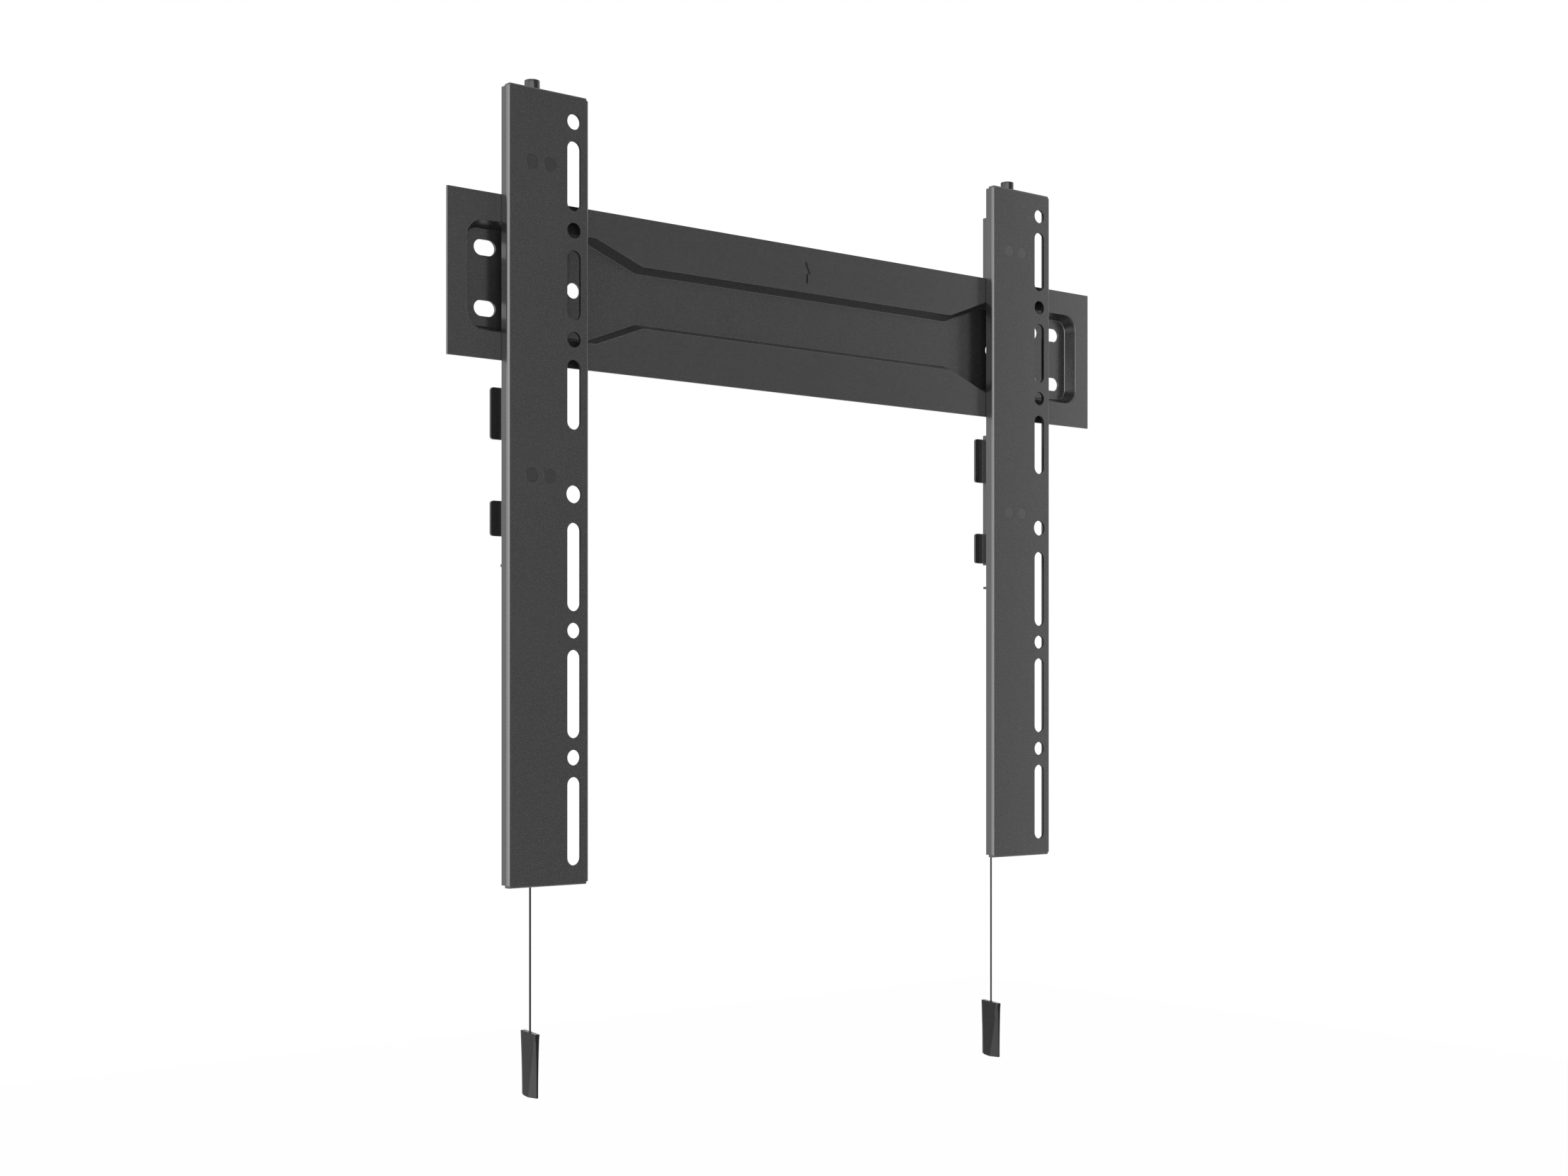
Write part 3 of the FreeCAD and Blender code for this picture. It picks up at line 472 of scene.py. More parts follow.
def to_mesh(name: str, shape: bmesh.types.BMesh, smooth_below: float = SHARP_TURN,
            creases: tuple[float, float] = (0.0, 0.0)) -> bpy.types.Mesh:
    """Turns a shape into a smooth mesh whose real edges stay sharp.

    Args:
        name: Name of the mesh.
        shape: The shape, which is freed.
        smooth_below: Edges that turn by less than this many degrees are smooth.
        creases: Edges that turn by an angle between these two are sharp as well.

    Returns:
        The mesh.
    """
    shape.edges.index_update()
    creased = [edge.index for edge in shape.edges if creases[0] < turn_at(edge) < creases[1]]
    mesh = bpy.data.meshes.new(name)
    shape.to_mesh(mesh)
    shape.free()
    mesh.shade_smooth()
    mesh.set_sharp_from_angle(angle=math.radians(smooth_below))
    for index in creased:
        mesh.edges[index].use_edge_sharp = True
    return mesh


def weigh_edges(mesh: bpy.types.Mesh, crisp: Region) -> None:
    """Marks the sharp edges outside a region for rounding.

    Args:
        mesh: The mesh.
        crisp: Region whose edges stay as they are.
    """
    shape = bmesh.new()
    shape.from_mesh(mesh)
    weight = shape.edges.layers.float.new("bevel_weight_edge")
    for edge in shape.edges:
        middle = (edge.verts[0].co + edge.verts[1].co) / 2
        edge[weight] = float(turn_at(edge) > SHARP_TURN and not crisp.holds(middle))
    shape.to_mesh(mesh)
    shape.free()


def round_edges(piece: bpy.types.Object, radius: float, crisp: Region | None = None) -> None:
    """Rounds the sharp edges of a piece and evens its shading.

    Args:
        piece: The piece.
        radius: Radius of the rounding in metres.
        crisp: Region whose edges stay as they are.
    """
    bevel = piece.modifiers.new("edge rounding", "BEVEL")
    bevel.width = radius
    bevel.segments = 2
    bevel.limit_method = "ANGLE"
    bevel.angle_limit = math.radians(SHARP_TURN)
    bevel.use_clamp_overlap = True
    bevel.miter_outer = "MITER_ARC"
    if crisp:
        weigh_edges(piece.data, crisp)
        bevel.limit_method = "WEIGHT"
    even = piece.modifiers.new("even shading", "WEIGHTED_NORMAL")
    even.keep_sharp = True


@dataclass
class SheetPiece:
    """A folded or pressed sheet whose cut edges are rounded by its coat.

    Attributes:
        node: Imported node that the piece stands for.
        body: Body that it rides on.
        slot: Material slot of the record.
        edge: Radius of the coated edges in metres.
        outer: Rounding of pressed or folded corners outside, in metres.
        inner: Rounding of pressed or folded corners inside, in metres.
        turns: Smallest and largest turn of those corners, in degrees.
        crisp: Region whose edges stay crisp.
        MERGE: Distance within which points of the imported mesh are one, in metres.
        FLAT_TURN: Faces that turn by fewer degrees than this are one.
        UPRIGHT: Largest share of a wall's direction that points at the room.
    """

    node: str
    body: str
    slot: str
    edge: float = 0.18 * MM
    outer: float = 0.0
    inner: float = 0.0
    turns: tuple[float, float] = (50, 80)
    crisp: Region | None = None

    MERGE: ClassVar[float] = 0.002 * MM
    FLAT_TURN: ClassVar[float] = 0.4
    UPRIGHT: ClassVar[float] = 0.1

    def build(self, finish: Material) -> bpy.types.Object:
        """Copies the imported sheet, merges it, rounds its edges and dresses it.

        Args:
            finish: Material of the sheet.

        Returns:
            The piece.
        """
        shape = bmesh.new()
        shape.from_mesh(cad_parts[self.node].data)
        bmesh.ops.remove_doubles(shape, verts=shape.verts, dist=self.MERGE)
        bmesh.ops.dissolve_limit(shape, angle_limit=math.radians(self.FLAT_TURN),
                                 verts=shape.verts, edges=shape.edges)
        self.shape_corners(shape)
        name = self.node + "_coated"
        piece = add_piece(name, to_mesh(name, shape), self.body, finish, self.slot)
        round_edges(piece, self.edge, self.crisp)
        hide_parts(self.node)
        return piece

    def build_with_wall_shade(self, finish: Material, region: Region,
                         wall_shade: Material) -> None:
        """Builds the sheet and paints shade on the walls of its holes and marks with a darker,
        duller finish.

        Args:
            finish: Material of the sheet.
            region: Region whose walls are dressed.
            wall_shade: Material of the walls, a near-black coat that paints their shade.
        """
        sheet = self.build(finish).data
        sheet.materials.append(wall_shade)
        for face in sheet.polygons:
            if region.holds(face.center) and abs(face.normal.y) < self.UPRIGHT:
                # These walls get the near-black coat: painted shade.
                face.material_index = 1

    def shape_corners(self, shape: bmesh.types.BMesh) -> None:
        """Rounds the corners that pressing and folding leave in the sheet.

        Args:
            shape: The merged copy of the sheet.
        """
        for radius, convex in ((self.outer, True), (self.inner, False)):
            corners = [edge for edge in shape.edges if edge.is_convex == convex
                       and self.turns[0] < turn_at(edge) < self.turns[1]]
            if radius and corners:
                bmesh.ops.bevel(shape, geom=corners, offset=radius, offset_type="OFFSET",
                                affect="EDGES", segments=3, profile=0.5, material=-1,
                                clamp_overlap=True)


@dataclass
class ArmSheet(SheetPiece):
    """An arm's sheet, whose upper and lower folds are tighter than its side folds.

    Attributes:
        bend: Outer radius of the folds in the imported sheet.
        tightness: Power of the curve that the end folds follow, where 2 is round.
        BORDER: Width in metres, in X and Z, of the border without holes.
        NO_REACH: Points nearer than this to the fold's ends stay, in metres.
        OFF_CURVE: Points farther than this from the outer curve stay, in metres.
    """

    bend: float = 1.8 * MM
    tightness: float = 3.0

    BORDER: ClassVar[tuple[float, float, float]] = (3 * MM, 0, 3 * MM)
    NO_REACH: ClassVar[float] = 0.02 * MM
    OFF_CURVE: ClassVar[float] = 0.1 * MM

    def inside_border(self) -> Region:
        """Returns the part of the arm's front that holds all of its holes."""
        low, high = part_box(self.node)
        return Region(low + Vector(self.BORDER), high - Vector(self.BORDER))

    def shape_corners(self, shape: bmesh.types.BMesh) -> None:
        """Moves the outer surface of both end folds out to a tighter curve.

        Args:
            shape: The merged copy of the sheet.
        """
        low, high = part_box(self.node)
        middle_y = low.y + self.bend
        for middle_z, way in ((high.z - self.bend, 1), (low.z + self.bend, -1)):
            for vertex in shape.verts:
                out = Vector((0, middle_y - vertex.co.y, (vertex.co.z - middle_z) * way))
                off_curve = abs(out.length - self.bend)
                if min(out.y, out.z) < self.NO_REACH or off_curve > self.OFF_CURVE:
                    continue
                share = out / self.bend
                power = share.y ** self.tightness + share.z ** self.tightness
                reach = power ** (-1 / self.tightness)
                vertex.co.y = middle_y - out.y * reach
                vertex.co.z = middle_z + out.z * reach * way


def turned(name: str, centre: Vector, profile: list[tuple[float, float]],
           steps: int) -> bpy.types.Mesh:
    """Turns a profile about an upright axis.

    Args:
        name: Name of the mesh.
        centre: A point of the axis; its height is the profile's zero.
        profile: Points (radius, height) from one end of the axis to the other.
        steps: Steps of the full turn.

    Returns:
        The closed mesh.
    """
    shape = bmesh.new()
    line = [shape.verts.new(centre + Vector((radius, 0, height))) for radius, height in profile]
    edges = [shape.edges.new(pair) for pair in zip(line, line[1:])]
    bmesh.ops.spin(shape, geom=line + edges, cent=centre, axis=(0, 0, 1),
                   angle=math.tau, steps=steps, use_merge=True)
    bmesh.ops.remove_doubles(shape, verts=shape.verts, dist=0.001 * MM)
    bmesh.ops.recalc_face_normals(shape, faces=shape.faces)
    return to_mesh(name, shape)


def node_centre(node: str) -> Vector:
    """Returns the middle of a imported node's box."""
    low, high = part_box(node)
    return (low + high) / 2


def node_foot(node: str) -> Vector:
    """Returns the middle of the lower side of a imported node's box."""
    centre = node_centre(node)
    return Vector((centre.x, centre.y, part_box(node)[0].z))


@dataclass
class LevelScrew:
    """The level screw on top of an arm: threaded stud, knob and ring.

    Attributes:
        side: Side of the bracket.
        pitch: Thread pitch in metres.
        thread_depth: Depth of the thread in metres.
        knob_edge: Rounding of the knob's rims in metres.
        ring_edge: Rounding of the ring's edges in metres.
        CREST: Where a ridge's crest begins and ends, as shares of the pitch.
        STUD_STEPS: Steps of the full turn of the stud.
        KNOB_STEPS: Steps of the full turn of the knob.
        RIM_ANGLES: Angles of the points of a rim, in degrees.
        DISH: Radii of the upper and lower edge of the knob's dish, as shares.
        DISH_DEPTH: Depth of the dish in metres.
    """

    side: Side
    pitch: float = 0.8 * MM
    thread_depth: float = 0.45 * MM
    knob_edge: float = 0.3 * MM
    ring_edge: float = 0.1 * MM

    CREST: ClassVar[tuple[float, float]] = (0.45, 0.55)
    STUD_STEPS: ClassVar[int] = 24
    KNOB_STEPS: ClassVar[int] = 64
    RIM_ANGLES: ClassVar[tuple[float, ...]] = (0.0, 22.5, 45.0, 67.5, 90.0)
    DISH: ClassVar[tuple[float, float]] = (0.45, 0.4)
    DISH_DEPTH: ClassVar[float] = 0.3 * MM

    def build(self, finishes: Finishes) -> None:
        """Builds and dresses the screw's pieces.

        Args:
            finishes: All finishes.
        """
        self.build_stud(finishes.zinc)
        self.build_knob(finishes.knob)
        ring = SheetPiece(self.side.node("retaining_ring"), self.side.body("screw"), "zinc",
                          self.ring_edge)
        ring.build(finishes.zinc)

    def build_stud(self, finish: Material) -> None:
        """Builds the stud with the ridges of its thread.

        Args:
            finish: Material of the stud.
        """
        node = self.side.node("level_screw")
        low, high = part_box(node)
        radius = (high.x - low.x) / 2
        length = high.z - low.z
        root = radius - self.thread_depth
        profile = [(0.0, 0.0), (root, 0.0)]
        for turn in range(1, int(length / self.pitch) - 1):
            height = turn * self.pitch
            profile.append((root, height))
            profile += [(radius, height + self.pitch * share) for share in self.CREST]
        profile += [(root, length - self.pitch), (root, length), (0.0, length)]
        name = node + "_threaded"
        piece = add_piece(name, turned(name, node_foot(node), profile, self.STUD_STEPS),
                          self.side.body("screw"), finish, "zinc")
        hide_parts(node)

    def build_knob(self, finish: Material) -> None:
        """Builds the knob, a plain cylinder with rounded rims and a shallow dish.

        Args:
            finish: Material of the knob.
        """
        node = self.side.node("level_knob")
        low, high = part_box(node)
        radius = (high.x - low.x) / 2
        height = high.z - low.z
        foot = [(radius - self.knob_edge * (1 - math.sin(angle)),
                 self.knob_edge * (1 - math.cos(angle)))
                for angle in map(math.radians, self.RIM_ANGLES)]
        head = [(r, height - h) for r, h in reversed(foot)]
        bottom = height - self.DISH_DEPTH
        dish = [(radius * self.DISH[0], height), (radius * self.DISH[1], bottom), (0.0, bottom)]
        name = node + "_smooth"
        mesh = turned(name, node_foot(node), [(0.0, 0.0)] + foot + head + dish, self.KNOB_STEPS)
        piece = add_piece(name, mesh, self.side.body("screw"), finish, "black_plastic")
        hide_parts(node)


@dataclass
class LatchSpring:
    """The compression spring round the latch rod.

    Attributes:
        side: Side of the bracket.
        wire: Wire radius in metres.
        turns: Number of turns.
        travel: Latch travel in metres; not used.
        WIRE_SIDES: Sides of the round wire.
        TURN_STEPS: Steps of one turn.
        SMOOTH_BELOW: Edges that turn by fewer degrees are smooth.
    """

    side: Side
    wire: float = 0.35 * MM
    turns: float = 8.5
    travel: float = 8.0 * MM

    WIRE_SIDES: ClassVar[int] = 10
    TURN_STEPS: ClassVar[int] = 24
    SMOOTH_BELOW: ClassVar[float] = 60

    def build(self, finish: Material) -> None:
        """Winds the spring.

        Args:
            finish: Material of the spring.
        """
        node = self.side.node("latch_spring")
        low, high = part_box(node)
        axis = node_centre(node)
        coil = (high.x - low.x) / 2 - self.wire
        rise = high.z - low.z - 2 * self.wire
        steps = int(self.turns * self.TURN_STEPS)
        shape = bmesh.new()
        ring = bmesh.ops.create_circle(shape, cap_ends=True, radius=self.wire,
                                       segments=self.WIRE_SIDES)["verts"]
        upright = Vector((0, 0, 1)).rotation_difference(Vector((0, 1, 0))).to_matrix()
        bmesh.ops.rotate(shape, verts=ring, cent=(0, 0, 0), matrix=upright)
        start = Vector((axis.x + coil, axis.y, low.z + self.wire))
        bmesh.ops.translate(shape, verts=ring, vec=start)
        bmesh.ops.spin(shape, geom=shape.faces[:], cent=axis, axis=(0, 0, 1),
                       dvec=(0, 0, rise / steps), angle=math.tau * self.turns, steps=steps)
        bmesh.ops.recalc_face_normals(shape, faces=shape.faces)
        name = node + "_wound"
        piece = add_piece(name, to_mesh(name, shape, self.SMOOTH_BELOW),
                          self.side.body("arm"), finish, "zinc")
        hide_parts(node)
        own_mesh(piece)


@dataclass
class PullHandle:
    """The flat handle on a cord, with four facets that open downwards.

    Attributes:
        side: Side of the bracket.
        facet_depth: Facet depth at the lower end, across the thickness.
        facet_near: Width at the lower end of the facets on the room's side.
        facet_far: Width at the lower end of the facets on the wall's side.
        facet_growth: Power by which the facets deepen fast at first.
        top_edge: Bevel on the upright edges at the top.
        slant: How much lower the handle is on the room's side.
        bow: Bow of the lower edge.
        rim: Rounding of the upper and lower rims.
        collar: Height of the collar round the cord.
        collar_foot: Radius of the collar on the handle.
        collar_head: Radius of the collar at its upper end.
        COLUMNS: Number of columns of faces across the handle's width.
        LEVELS: Number of levels of faces over the handle's height.
        RIM_TURN: Edges that turn by more degrees than this belong to a rim.
        SMOOTH_BELOW: Edges that turn by fewer degrees are smooth.
        CREASES: Smallest and largest turn of the facets' own edges, in degrees.
    """

    side: Side
    facet_depth: float = 1.0 * MM
    facet_near: float = 7.2 * MM
    facet_far: float = 2.8 * MM
    facet_growth: float = 0.8
    top_edge: float = 0.25 * MM
    slant: float = 1.1 * MM
    bow: float = 0.7 * MM
    rim: float = 0.3 * MM
    collar: float = 1.2 * MM
    collar_foot: float = 1.1 * MM
    collar_head: float = 0.7 * MM

    COLUMNS: ClassVar[int] = 12
    LEVELS: ClassVar[int] = 14
    RIM_TURN: ClassVar[float] = 60
    SMOOTH_BELOW: ClassVar[float] = 50
    CREASES: ClassVar[tuple[float, float]] = (4, 18)

    def build(self, finish: Material) -> bpy.types.Object:
        """Builds the handle.

        Args:
            finish: Material of the handle.

        Returns:
            The piece, which goes with its cord.
        """
        node = self.side.node("pull_handle")
        low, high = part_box(node)
        middle = node_centre(node)
        top = high.z - self.collar
        shape = self.unit_block()
        half = Vector((high.x - low.x, high.y - low.y, 0)) / 2
        for vertex in shape.verts:
            place = self.place(vertex.co, half, top - low.z)
            vertex.co = place + Vector((middle.x, middle.y, top))
        bmesh.ops.recalc_face_normals(shape, faces=shape.faces)
        rims = [edge for edge in shape.edges if turn_at(edge) > self.RIM_TURN]
        bmesh.ops.bevel(shape, geom=rims, offset=self.rim, affect="EDGES", segments=3, profile=0.5,
                        material=-1, clamp_overlap=True)
        ring = bmesh.ops.create_cone(shape, cap_ends=True, segments=24, radius1=self.collar_foot,
                                     radius2=self.collar_head, depth=self.collar)["verts"]
        bmesh.ops.translate(shape, verts=ring, vec=(middle.x, middle.y, top - self.slant / 2))
        name = node + "_moulded"
        piece = add_piece(name, to_mesh(name, shape, self.SMOOTH_BELOW, self.CREASES),
                          self.side.body("latch"), finish, "handle_plastic")
        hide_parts(node)
        return piece

    def unit_block(self) -> bmesh.types.BMesh:
        """Builds a block one unit wide, thick and high, in columns and levels.

        Returns:
            The closed block, whose top is at height 0.
        """
        shape = bmesh.new()
        bmesh.ops.create_grid(shape, x_segments=1, y_segments=self.COLUMNS, size=0.5)
        faces = shape.faces[:]
        for level in range(1, self.LEVELS + 1):
            new = bmesh.ops.extrude_face_region(shape, geom=faces)["geom"]
            if level > 1:
                bmesh.ops.delete(shape, geom=faces, context="FACES")
            faces = [item for item in new if isinstance(item, bmesh.types.BMFace)]
            for vertex in {v for face in faces for v in face.verts}:
                vertex.co.z = -level / self.LEVELS
        return shape

    def place(self, unit: Vector, half: Vector, height: float) -> Vector:
        """Maps a point of the unit block to the handle's real shape.

        Args:
            unit: Point with x and y from -0.5 to 0.5 and z from 0 down to -1.
            half: Half thickness and half width of the handle.
            height: Height of the handle at its middle.

        Returns:
            The point, measured from the middle of the top face.
        """
        down = -unit.z
        growth = math.sin(down * math.pi / 2) ** self.facet_growth
        column = round((unit.y + 0.5) * self.COLUMNS)
        if column in (0, self.COLUMNS):
            y = math.copysign(half.y, unit.y)
            x = half.x - (self.top_edge + (self.facet_depth - self.top_edge) * growth)
        else:
            near = -half.y + self.top_edge + (self.facet_near - self.top_edge) * down
            far = half.y - self.top_edge - (self.facet_far - self.top_edge) * down
            y = near + (far - near) * (column - 1) / (self.COLUMNS - 2)
            x = half.x
        sag = self.bow * (1 - (y / half.y) ** 2)
        drop = self.slant * (1 - down - y / half.y) / 2
        return Vector((math.copysign(x, unit.x), y, -down * (height - self.bow + sag) - drop))


@dataclass
class PullCord:
    """The thin cord from the cord bar to its handle, pulled straight by it.

    Attributes:
        side: Side of the bracket.
        thickness: Cord thickness in metres.
        STATIONS: Places of the curve's points, as shares of the length from the top.
    """

    side: Side
    thickness: float = 1.2 * MM

    STATIONS: ClassVar[tuple[float, ...]] = (0.0, 0.1, 0.5, 0.9, 1.0)

    def build(self, finish: Material, handle: bpy.types.Object) -> None:
        """Args:
            finish: Material of the cord.
            handle: The handle that the cord ends in; not used.
        """
        node = self.side.node("pull_cord")
        low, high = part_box(node)
        middle = node_centre(node)
        length = high.z - low.z
        curve = bpy.data.curves.new(node + "_braid", "CURVE")
        curve.dimensions = "3D"
        curve.bevel_depth = self.thickness / 2
        curve.bevel_resolution = 5
        curve.use_fill_caps = True
        spline = curve.splines.new("NURBS")
        spline.points.add(len(self.STATIONS) - 1)
        for point, share in zip(spline.points, self.STATIONS):
            point.co = (middle.x, middle.y, high.z - share * length, 1.0)
        spline.order_u = 3
        spline.use_endpoint_u = True
        curve.materials.append(finish)
        cord = bpy.data.objects.new(node + "_braid", curve)
        bpy.context.scene.collection.objects.link(cord)
        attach(cord, self.side.body("latch"))
        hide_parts(node)
        bar_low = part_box(self.side.node("cord_bar"))[0].z
        LOG.info("%s is %.0f mm long", cord.name, length / MM)


@dataclass
class Arm:
    """One hook-on arm with everything that it carries.

    Attributes:
        side: Side of the bracket.
        FOLDS: Smallest and largest turn of the folds of the inner sheets, in degrees.
        INNER_SHEETS: Node, body and rounding of the folds of each sheet behind the arm.
        RIVETS: Nodes of the rivets.
        RIVET_EDGE: Rounding of the rivets' edges in metres.
        PLATED: Node and body of each small plated piece.
        PLATED_EDGE: Rounding of the plated pieces' edges in metres.
    """

    side: Side

    FOLDS: ClassVar[tuple[float, float]] = (80, 100)
    INNER_SHEETS: ClassVar[tuple[tuple[str, str, float], ...]] = (
        ("hook_bracket", "hook", 0.4 * MM), ("latch_case", "arm", 0.5 * MM),
        ("latch_slide", "latch", 0.0), ("cord_bar", "latch", 0.0))
    RIVETS: ClassVar[tuple[str, ...]] = ("upper_rivets", "lower_rivets")
    RIVET_EDGE: ClassVar[float] = 0.08 * MM
    PLATED: ClassVar[tuple[tuple[str, str], ...]] = (
        ("hook_nut", "hook"), ("latch_rod", "latch"), ("cord_crimp", "latch"))
    PLATED_EDGE: ClassVar[float] = 0.15 * MM

    def build(self, finishes: Finishes) -> None:
        """Dresses the sheets and builds the small pieces of the arm.

        Args:
            finishes: All finishes.
        """
        node, body = self.side.node, self.side.body
        sheet = ArmSheet(node("arm"), body("arm"), "steel_arm")
        # The walls of the arm's holes get painted shade.
        sheet.build_with_wall_shade(finishes.arm, sheet.inside_border(), finishes.painted_hole_shade)
        for word, owner, fold in self.INNER_SHEETS:
            SheetPiece(node(word), body(owner), "steel_inner", inner=fold,
                       turns=self.FOLDS).build(finishes.inner)
        # The right arm's rivets get the lighter copy of the coat: painted light.
        coat = finishes.rivet if self.side is Side.LEFT else finishes.painted_light_rivet
        for word in self.RIVETS:
            SheetPiece(node(word), body("arm"), "steel_arm", self.RIVET_EDGE).build(coat)
        for word, owner in self.PLATED:
            SheetPiece(node(word), body(owner), "zinc", self.PLATED_EDGE).build(finishes.zinc)
        LevelScrew(self.side).build(finishes)
        LatchSpring(self.side).build(finishes.zinc)
        handle = PullHandle(self.side).build(finishes.handle)
        PullCord(self.side).build(finishes.cord, handle)


@dataclass
class SoftBox:
    """A soft lamp that stands upright and faces the bracket.

    Attributes:
        name: Name of the lamp.
        azimuth: Direction from the bracket in degrees, 0 along +X and 90 into the wall.
        distance: Distance from the bracket in metres.
        width: Width of the lamp in metres.
        height: Height of the lamp in metres.
        radiance: Brightness of its surface, where 1 is white.
        lift: Height of its middle above the bracket in metres.
    """

    name: str
    azimuth: float
    distance: float
    width: float
    height: float
    radiance: float
    lift: float = 0.0

    def build(self, target: Vector) -> None:
        """Adds the lamp to the scene.

        Args:
            target: Point that the lamp is turned to.
        """
        lamp = bpy.data.lights.new(self.name, "AREA")
        lamp.shape = "RECTANGLE"
        lamp.size = self.width
        lamp.size_y = self.height
        lamp.energy = self.radiance * math.pi * self.width * self.height
        turn = math.radians(self.azimuth)
        place = target + Vector((math.cos(turn), math.sin(turn), 0)) * self.distance
        place.z += self.lift
        holder = bpy.data.objects.new(self.name, lamp)
        holder.location = place
        holder.rotation_euler = (target - place).to_track_quat("-Z", "Y").to_euler()
        bpy.context.scene.collection.objects.link(holder)


@dataclass
class Studio:
    """The pale floor, the white surroundings, the grey screen, the lamps and the camera.

    Attributes:
        image_width: Width of the photograph in pixels.
        image_height: Height of the photograph in pixels.
        focal_pixels: Focal length of the photograph's camera in pixels.
        horizon_row: Row of the photograph at the camera's own height.
        camera_place: Place of the camera in metres.
        camera_turn: Turn of the camera to the right of the wall's direction, in degrees.
        floor_height: Height of the floor in metres.
        floor_reach: How far the floor reaches each way in metres.
        floor_grey: Grey level of the floor's paint.
        floor_gloss: Roughness of the floor's paint.
        floor_glow: Share of plain white in what the camera sees of the floor.
        ambient: Brightness of the surroundings as a light.
        screen: Width, height and distance of the grey screen in metres.
        screen_azimuth: Direction of the grey screen in degrees.
        screen_grey: Grey level of the screen's cloth.
        lamp_target: Point that the lamps are turned to.
        lamps: The lamps.
        SENSOR: Width of the camera's sensor in millimetres.
        NEAREST: Distance in metres from which the camera sees.
    """

    image_width: float = 2212
    image_height: float = 1659
    focal_pixels: float = 3001.56
    horizon_row: float = 988.97
    camera_place: tuple[float, float, float] = (-0.84942, -1.0389, -0.2381)
    camera_turn: float = 38.9268
    floor_height: float = -1.5
    floor_reach: float = 6.0
    floor_grey: float = 0.8
    floor_gloss: float = 0.9
    floor_glow: float = 0.985
    ambient: float = 0.45
    screen: tuple[float, float, float] = (1.85, 3.3, 1.6)
    screen_azimuth: float = 292.0
    screen_grey: float = 0.6
    lamp_target: tuple[float, float, float] = (0, 0, -0.1)
    lamps: tuple[SoftBox, ...] = (
        SoftBox("camera_side_lamp", 232, 3.0, 3.46, 2.9, 3.4, 0.1),
        SoftBox("left_lamp", 170, 3.0, 3.8, 2.9, 2.0, 0.1),
        SoftBox("right_lamp", 332, 3.0, 1.1, 2.9, 0.9, 0.1),
    )

    SENSOR: ClassVar[float] = 36.0
    NEAREST: ClassVar[float] = 0.01

    def build(self) -> None:
        """Adds everything to the scene."""
        scene = bpy.context.scene
        scene.view_settings.view_transform = "Standard"
        self.build_surroundings(scene)
        self.build_floor()
        self.build_screen()
        self.build_camera(scene)
        for lamp in self.lamps:
            lamp.build(Vector(self.lamp_target))

    @staticmethod
    def seen_directly(tree: bpy.types.NodeTree) -> Socket:
        """Adds the nodes that tell what the camera sees itself, in gloss or through glass.

        Args:
            tree: Node tree to add them to.

        Returns:
            A value that is 1 for such rays and 0 for all others.
        """
        ray = tree.nodes.new("ShaderNodeLightPath")
        seen = ray.outputs["Is Camera Ray"]
        for other in ("Is Glossy Ray", "Is Transmission Ray"):
            either = tree.nodes.new("ShaderNodeMath")
            either.operation = "MAXIMUM"
            tree.links.new(seen, either.inputs[0])
            tree.links.new(ray.outputs[other], either.inputs[1])
            seen = either.outputs["Value"]
        return seen

    @staticmethod
    def add_to_stage(name: str, shape: bmesh.types.BMesh,
                     finish: Material) -> bpy.types.Object:
        """Adds a flat shape that belongs to the studio.

        Args:
            name: Name of the object.
            shape: The shape, which is freed.
            finish: Its material.

        Returns:
            The new object.
        """
        mesh = bpy.data.meshes.new(name)
        shape.to_mesh(mesh)
        shape.free()
        mesh.materials.append(finish)
        flat = bpy.data.objects.new(name, mesh)
        bpy.context.scene.collection.objects.link(flat)
        return flat

    def build_surroundings(self, scene: bpy.types.Scene) -> None:
        """Makes surroundings that look white and light the bracket softly.

        Args:
            scene: The scene.
        """
        world = bpy.data.worlds.new("studio")
        scene.world = world
        world.use_nodes = True
        nodes, links = world.node_tree.nodes, world.node_tree.links
        nodes.clear()
        light = nodes.new("ShaderNodeBackground")
        light.inputs["Color"].default_value = grey(1.0)
        light.inputs["Strength"].default_value = self.ambient
        white = nodes.new("ShaderNodeBackground")
        white.inputs["Color"].default_value = grey(1.0)
        mix = nodes.new("ShaderNodeMixShader")
        output = nodes.new("ShaderNodeOutputWorld")
        links.new(self.seen_directly(world.node_tree), mix.inputs[0])
        links.new(light.outputs[0], mix.inputs[1])
        links.new(white.outputs[0], mix.inputs[2])
        links.new(mix.outputs[0], output.inputs["Surface"])

    def build_floor(self) -> None:
        """Adds the pale floor, which looks white but keeps soft shadows."""
        graph = MaterialGraph("floor_paint")
        graph.shader.inputs["Base Color"].default_value = grey(self.floor_grey)
        graph.shader.inputs["Roughness"].default_value = self.floor_gloss
        glow = graph.tree.nodes.new("ShaderNodeEmission")
        share = graph.tree.nodes.new("ShaderNodeMath")
        share.operation = "MULTIPLY"
        share.inputs[1].default_value = self.floor_glow
        mix = graph.tree.nodes.new("ShaderNodeMixShader")
        graph.link(self.seen_directly(graph.tree), share.inputs[0])
        graph.link(share.outputs[0], mix.inputs[0])
        graph.link(graph.shader.outputs["BSDF"], mix.inputs[1])
        graph.link(glow.outputs["Emission"], mix.inputs[2])
        graph.link(mix.outputs[0], graph.output.inputs["Surface"])
        shape = bmesh.new()
        bmesh.ops.create_grid(shape, x_segments=1, y_segments=1, size=self.floor_reach)
        bmesh.ops.translate(shape, verts=shape.verts, vec=(0, 0, self.floor_height))
        self.add_to_stage("floor", shape, graph.material)

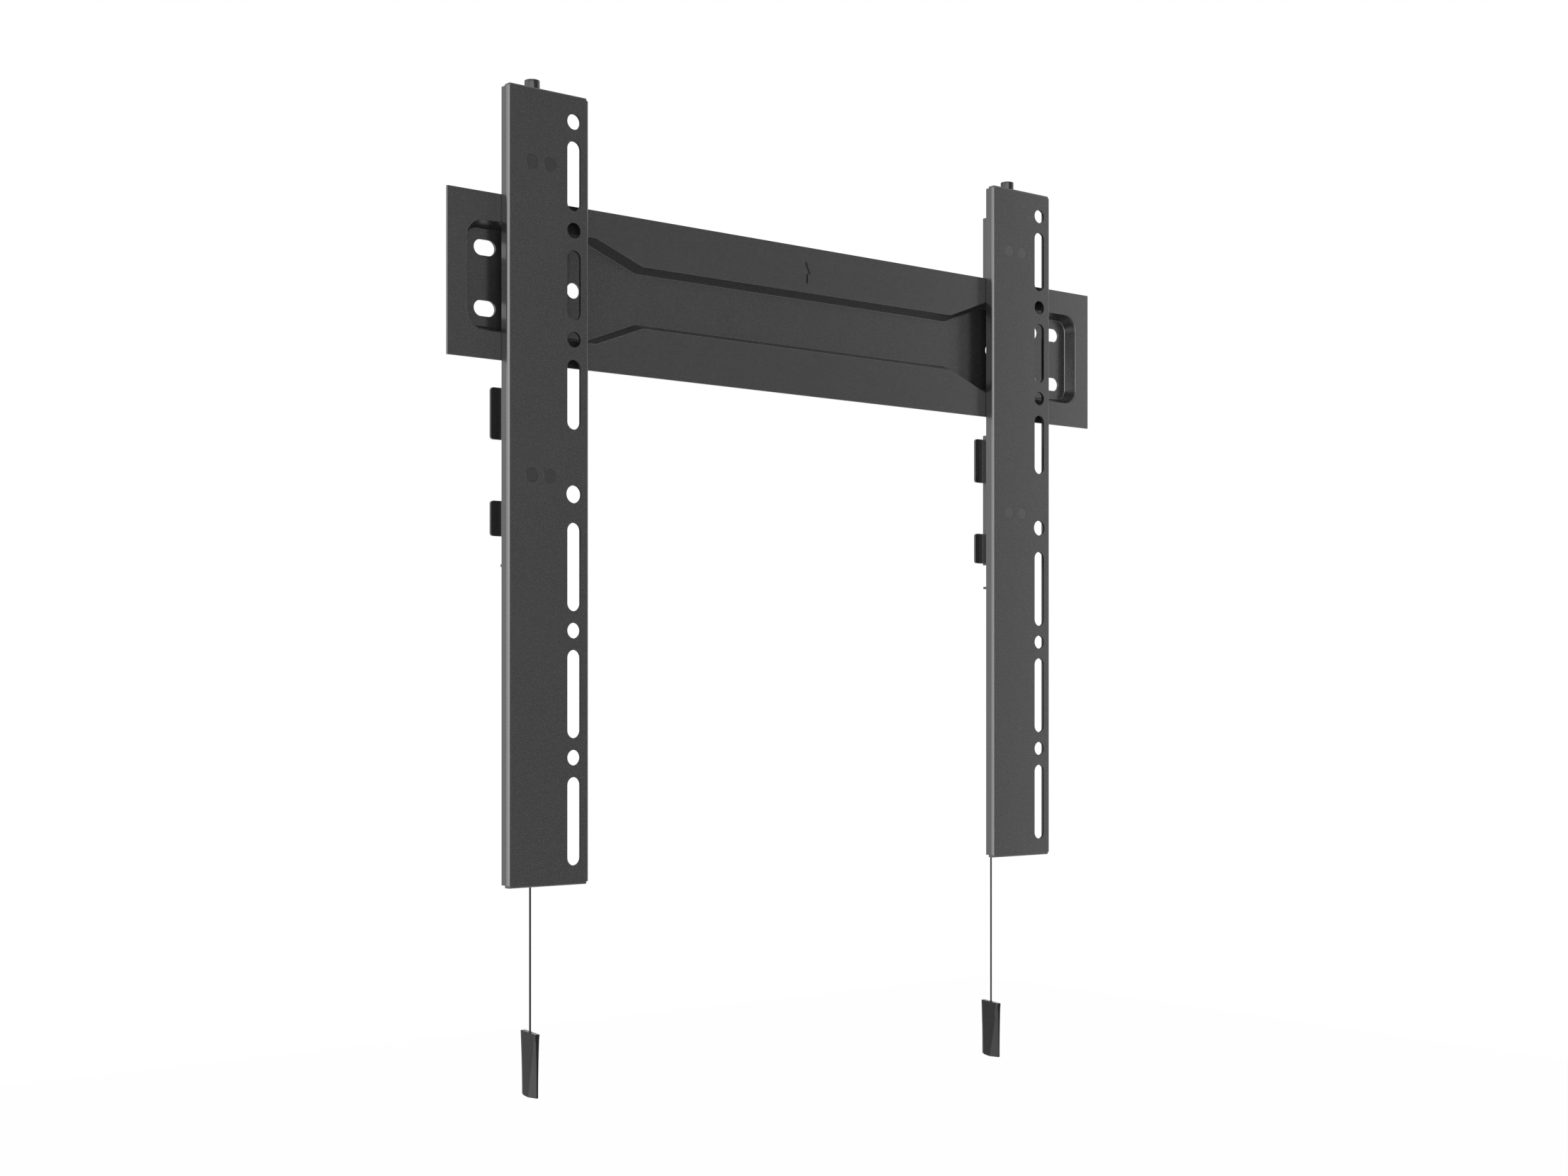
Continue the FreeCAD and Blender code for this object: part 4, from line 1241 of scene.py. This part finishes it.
    def build_screen(self) -> None:
        """Adds the grey screen at the right that keeps the black faces from going pale."""
        graph = MaterialGraph("screen_cloth")
        graph.shader.inputs["Base Color"].default_value = grey(self.screen_grey)
        graph.shader.inputs["Roughness"].default_value = 1.0
        graph.shader.inputs["Specular IOR Level"].default_value = 0.0
        width, height, distance = self.screen
        shape = bmesh.new()
        bmesh.ops.create_grid(shape, x_segments=1, y_segments=1, size=0.5)
        bmesh.ops.scale(shape, verts=shape.verts, vec=(width, height, 1))
        turn = math.radians(self.screen_azimuth)
        facing = Vector((-math.cos(turn), -math.sin(turn), 0))
        bmesh.ops.rotate(shape, verts=shape.verts, cent=(0, 0, 0),
                         matrix=facing.to_track_quat("Z", "Y").to_matrix())
        place = -facing * distance + Vector((0, 0, self.floor_height + height / 2))
        bmesh.ops.translate(shape, verts=shape.verts, vec=place)
        screen = self.add_to_stage("grey_screen", shape, graph.material)
        screen.visible_camera = False

    def build_camera(self, scene: bpy.types.Scene) -> None:
        """Adds the camera at the photograph's place and angle.

        Args:
            scene: The scene.
        """
        camera = bpy.data.cameras.new("camera")
        camera.sensor_fit = "HORIZONTAL"
        camera.sensor_width = self.SENSOR
        camera.lens = self.focal_pixels / self.image_width * camera.sensor_width
        camera.shift_y = (self.horizon_row - self.image_height / 2) / self.image_width
        camera.clip_start = self.NEAREST
        holder = bpy.data.objects.new("camera", camera)
        holder.location = self.camera_place
        holder.rotation_euler = (math.pi / 2, 0, -math.radians(self.camera_turn))
        scene.collection.objects.link(holder)
        scene.camera = holder


def main() -> None:
    """Builds the bracket and its studio in order."""
    logging.basicConfig(level=logging.INFO, format="%(name)s: %(message)s")
    finishes = Finishes()
    Studio().build()
    arrow = Region(Vector((-5, 0, 23)) * MM, Vector((5, 0, 39)) * MM)
    plate = SheetPiece("wall_plate", "wall", "steel_plate", outer=0.5 * MM, inner=0.6 * MM,
                       crisp=arrow)
    # The walls of the pressed arrow get painted shade.
    plate.build_with_wall_shade(finishes.plate, arrow, finishes.painted_hole_shade)
    for side in Side:
        Arm(side).build(finishes)


if __name__ == "__main__":
    main()
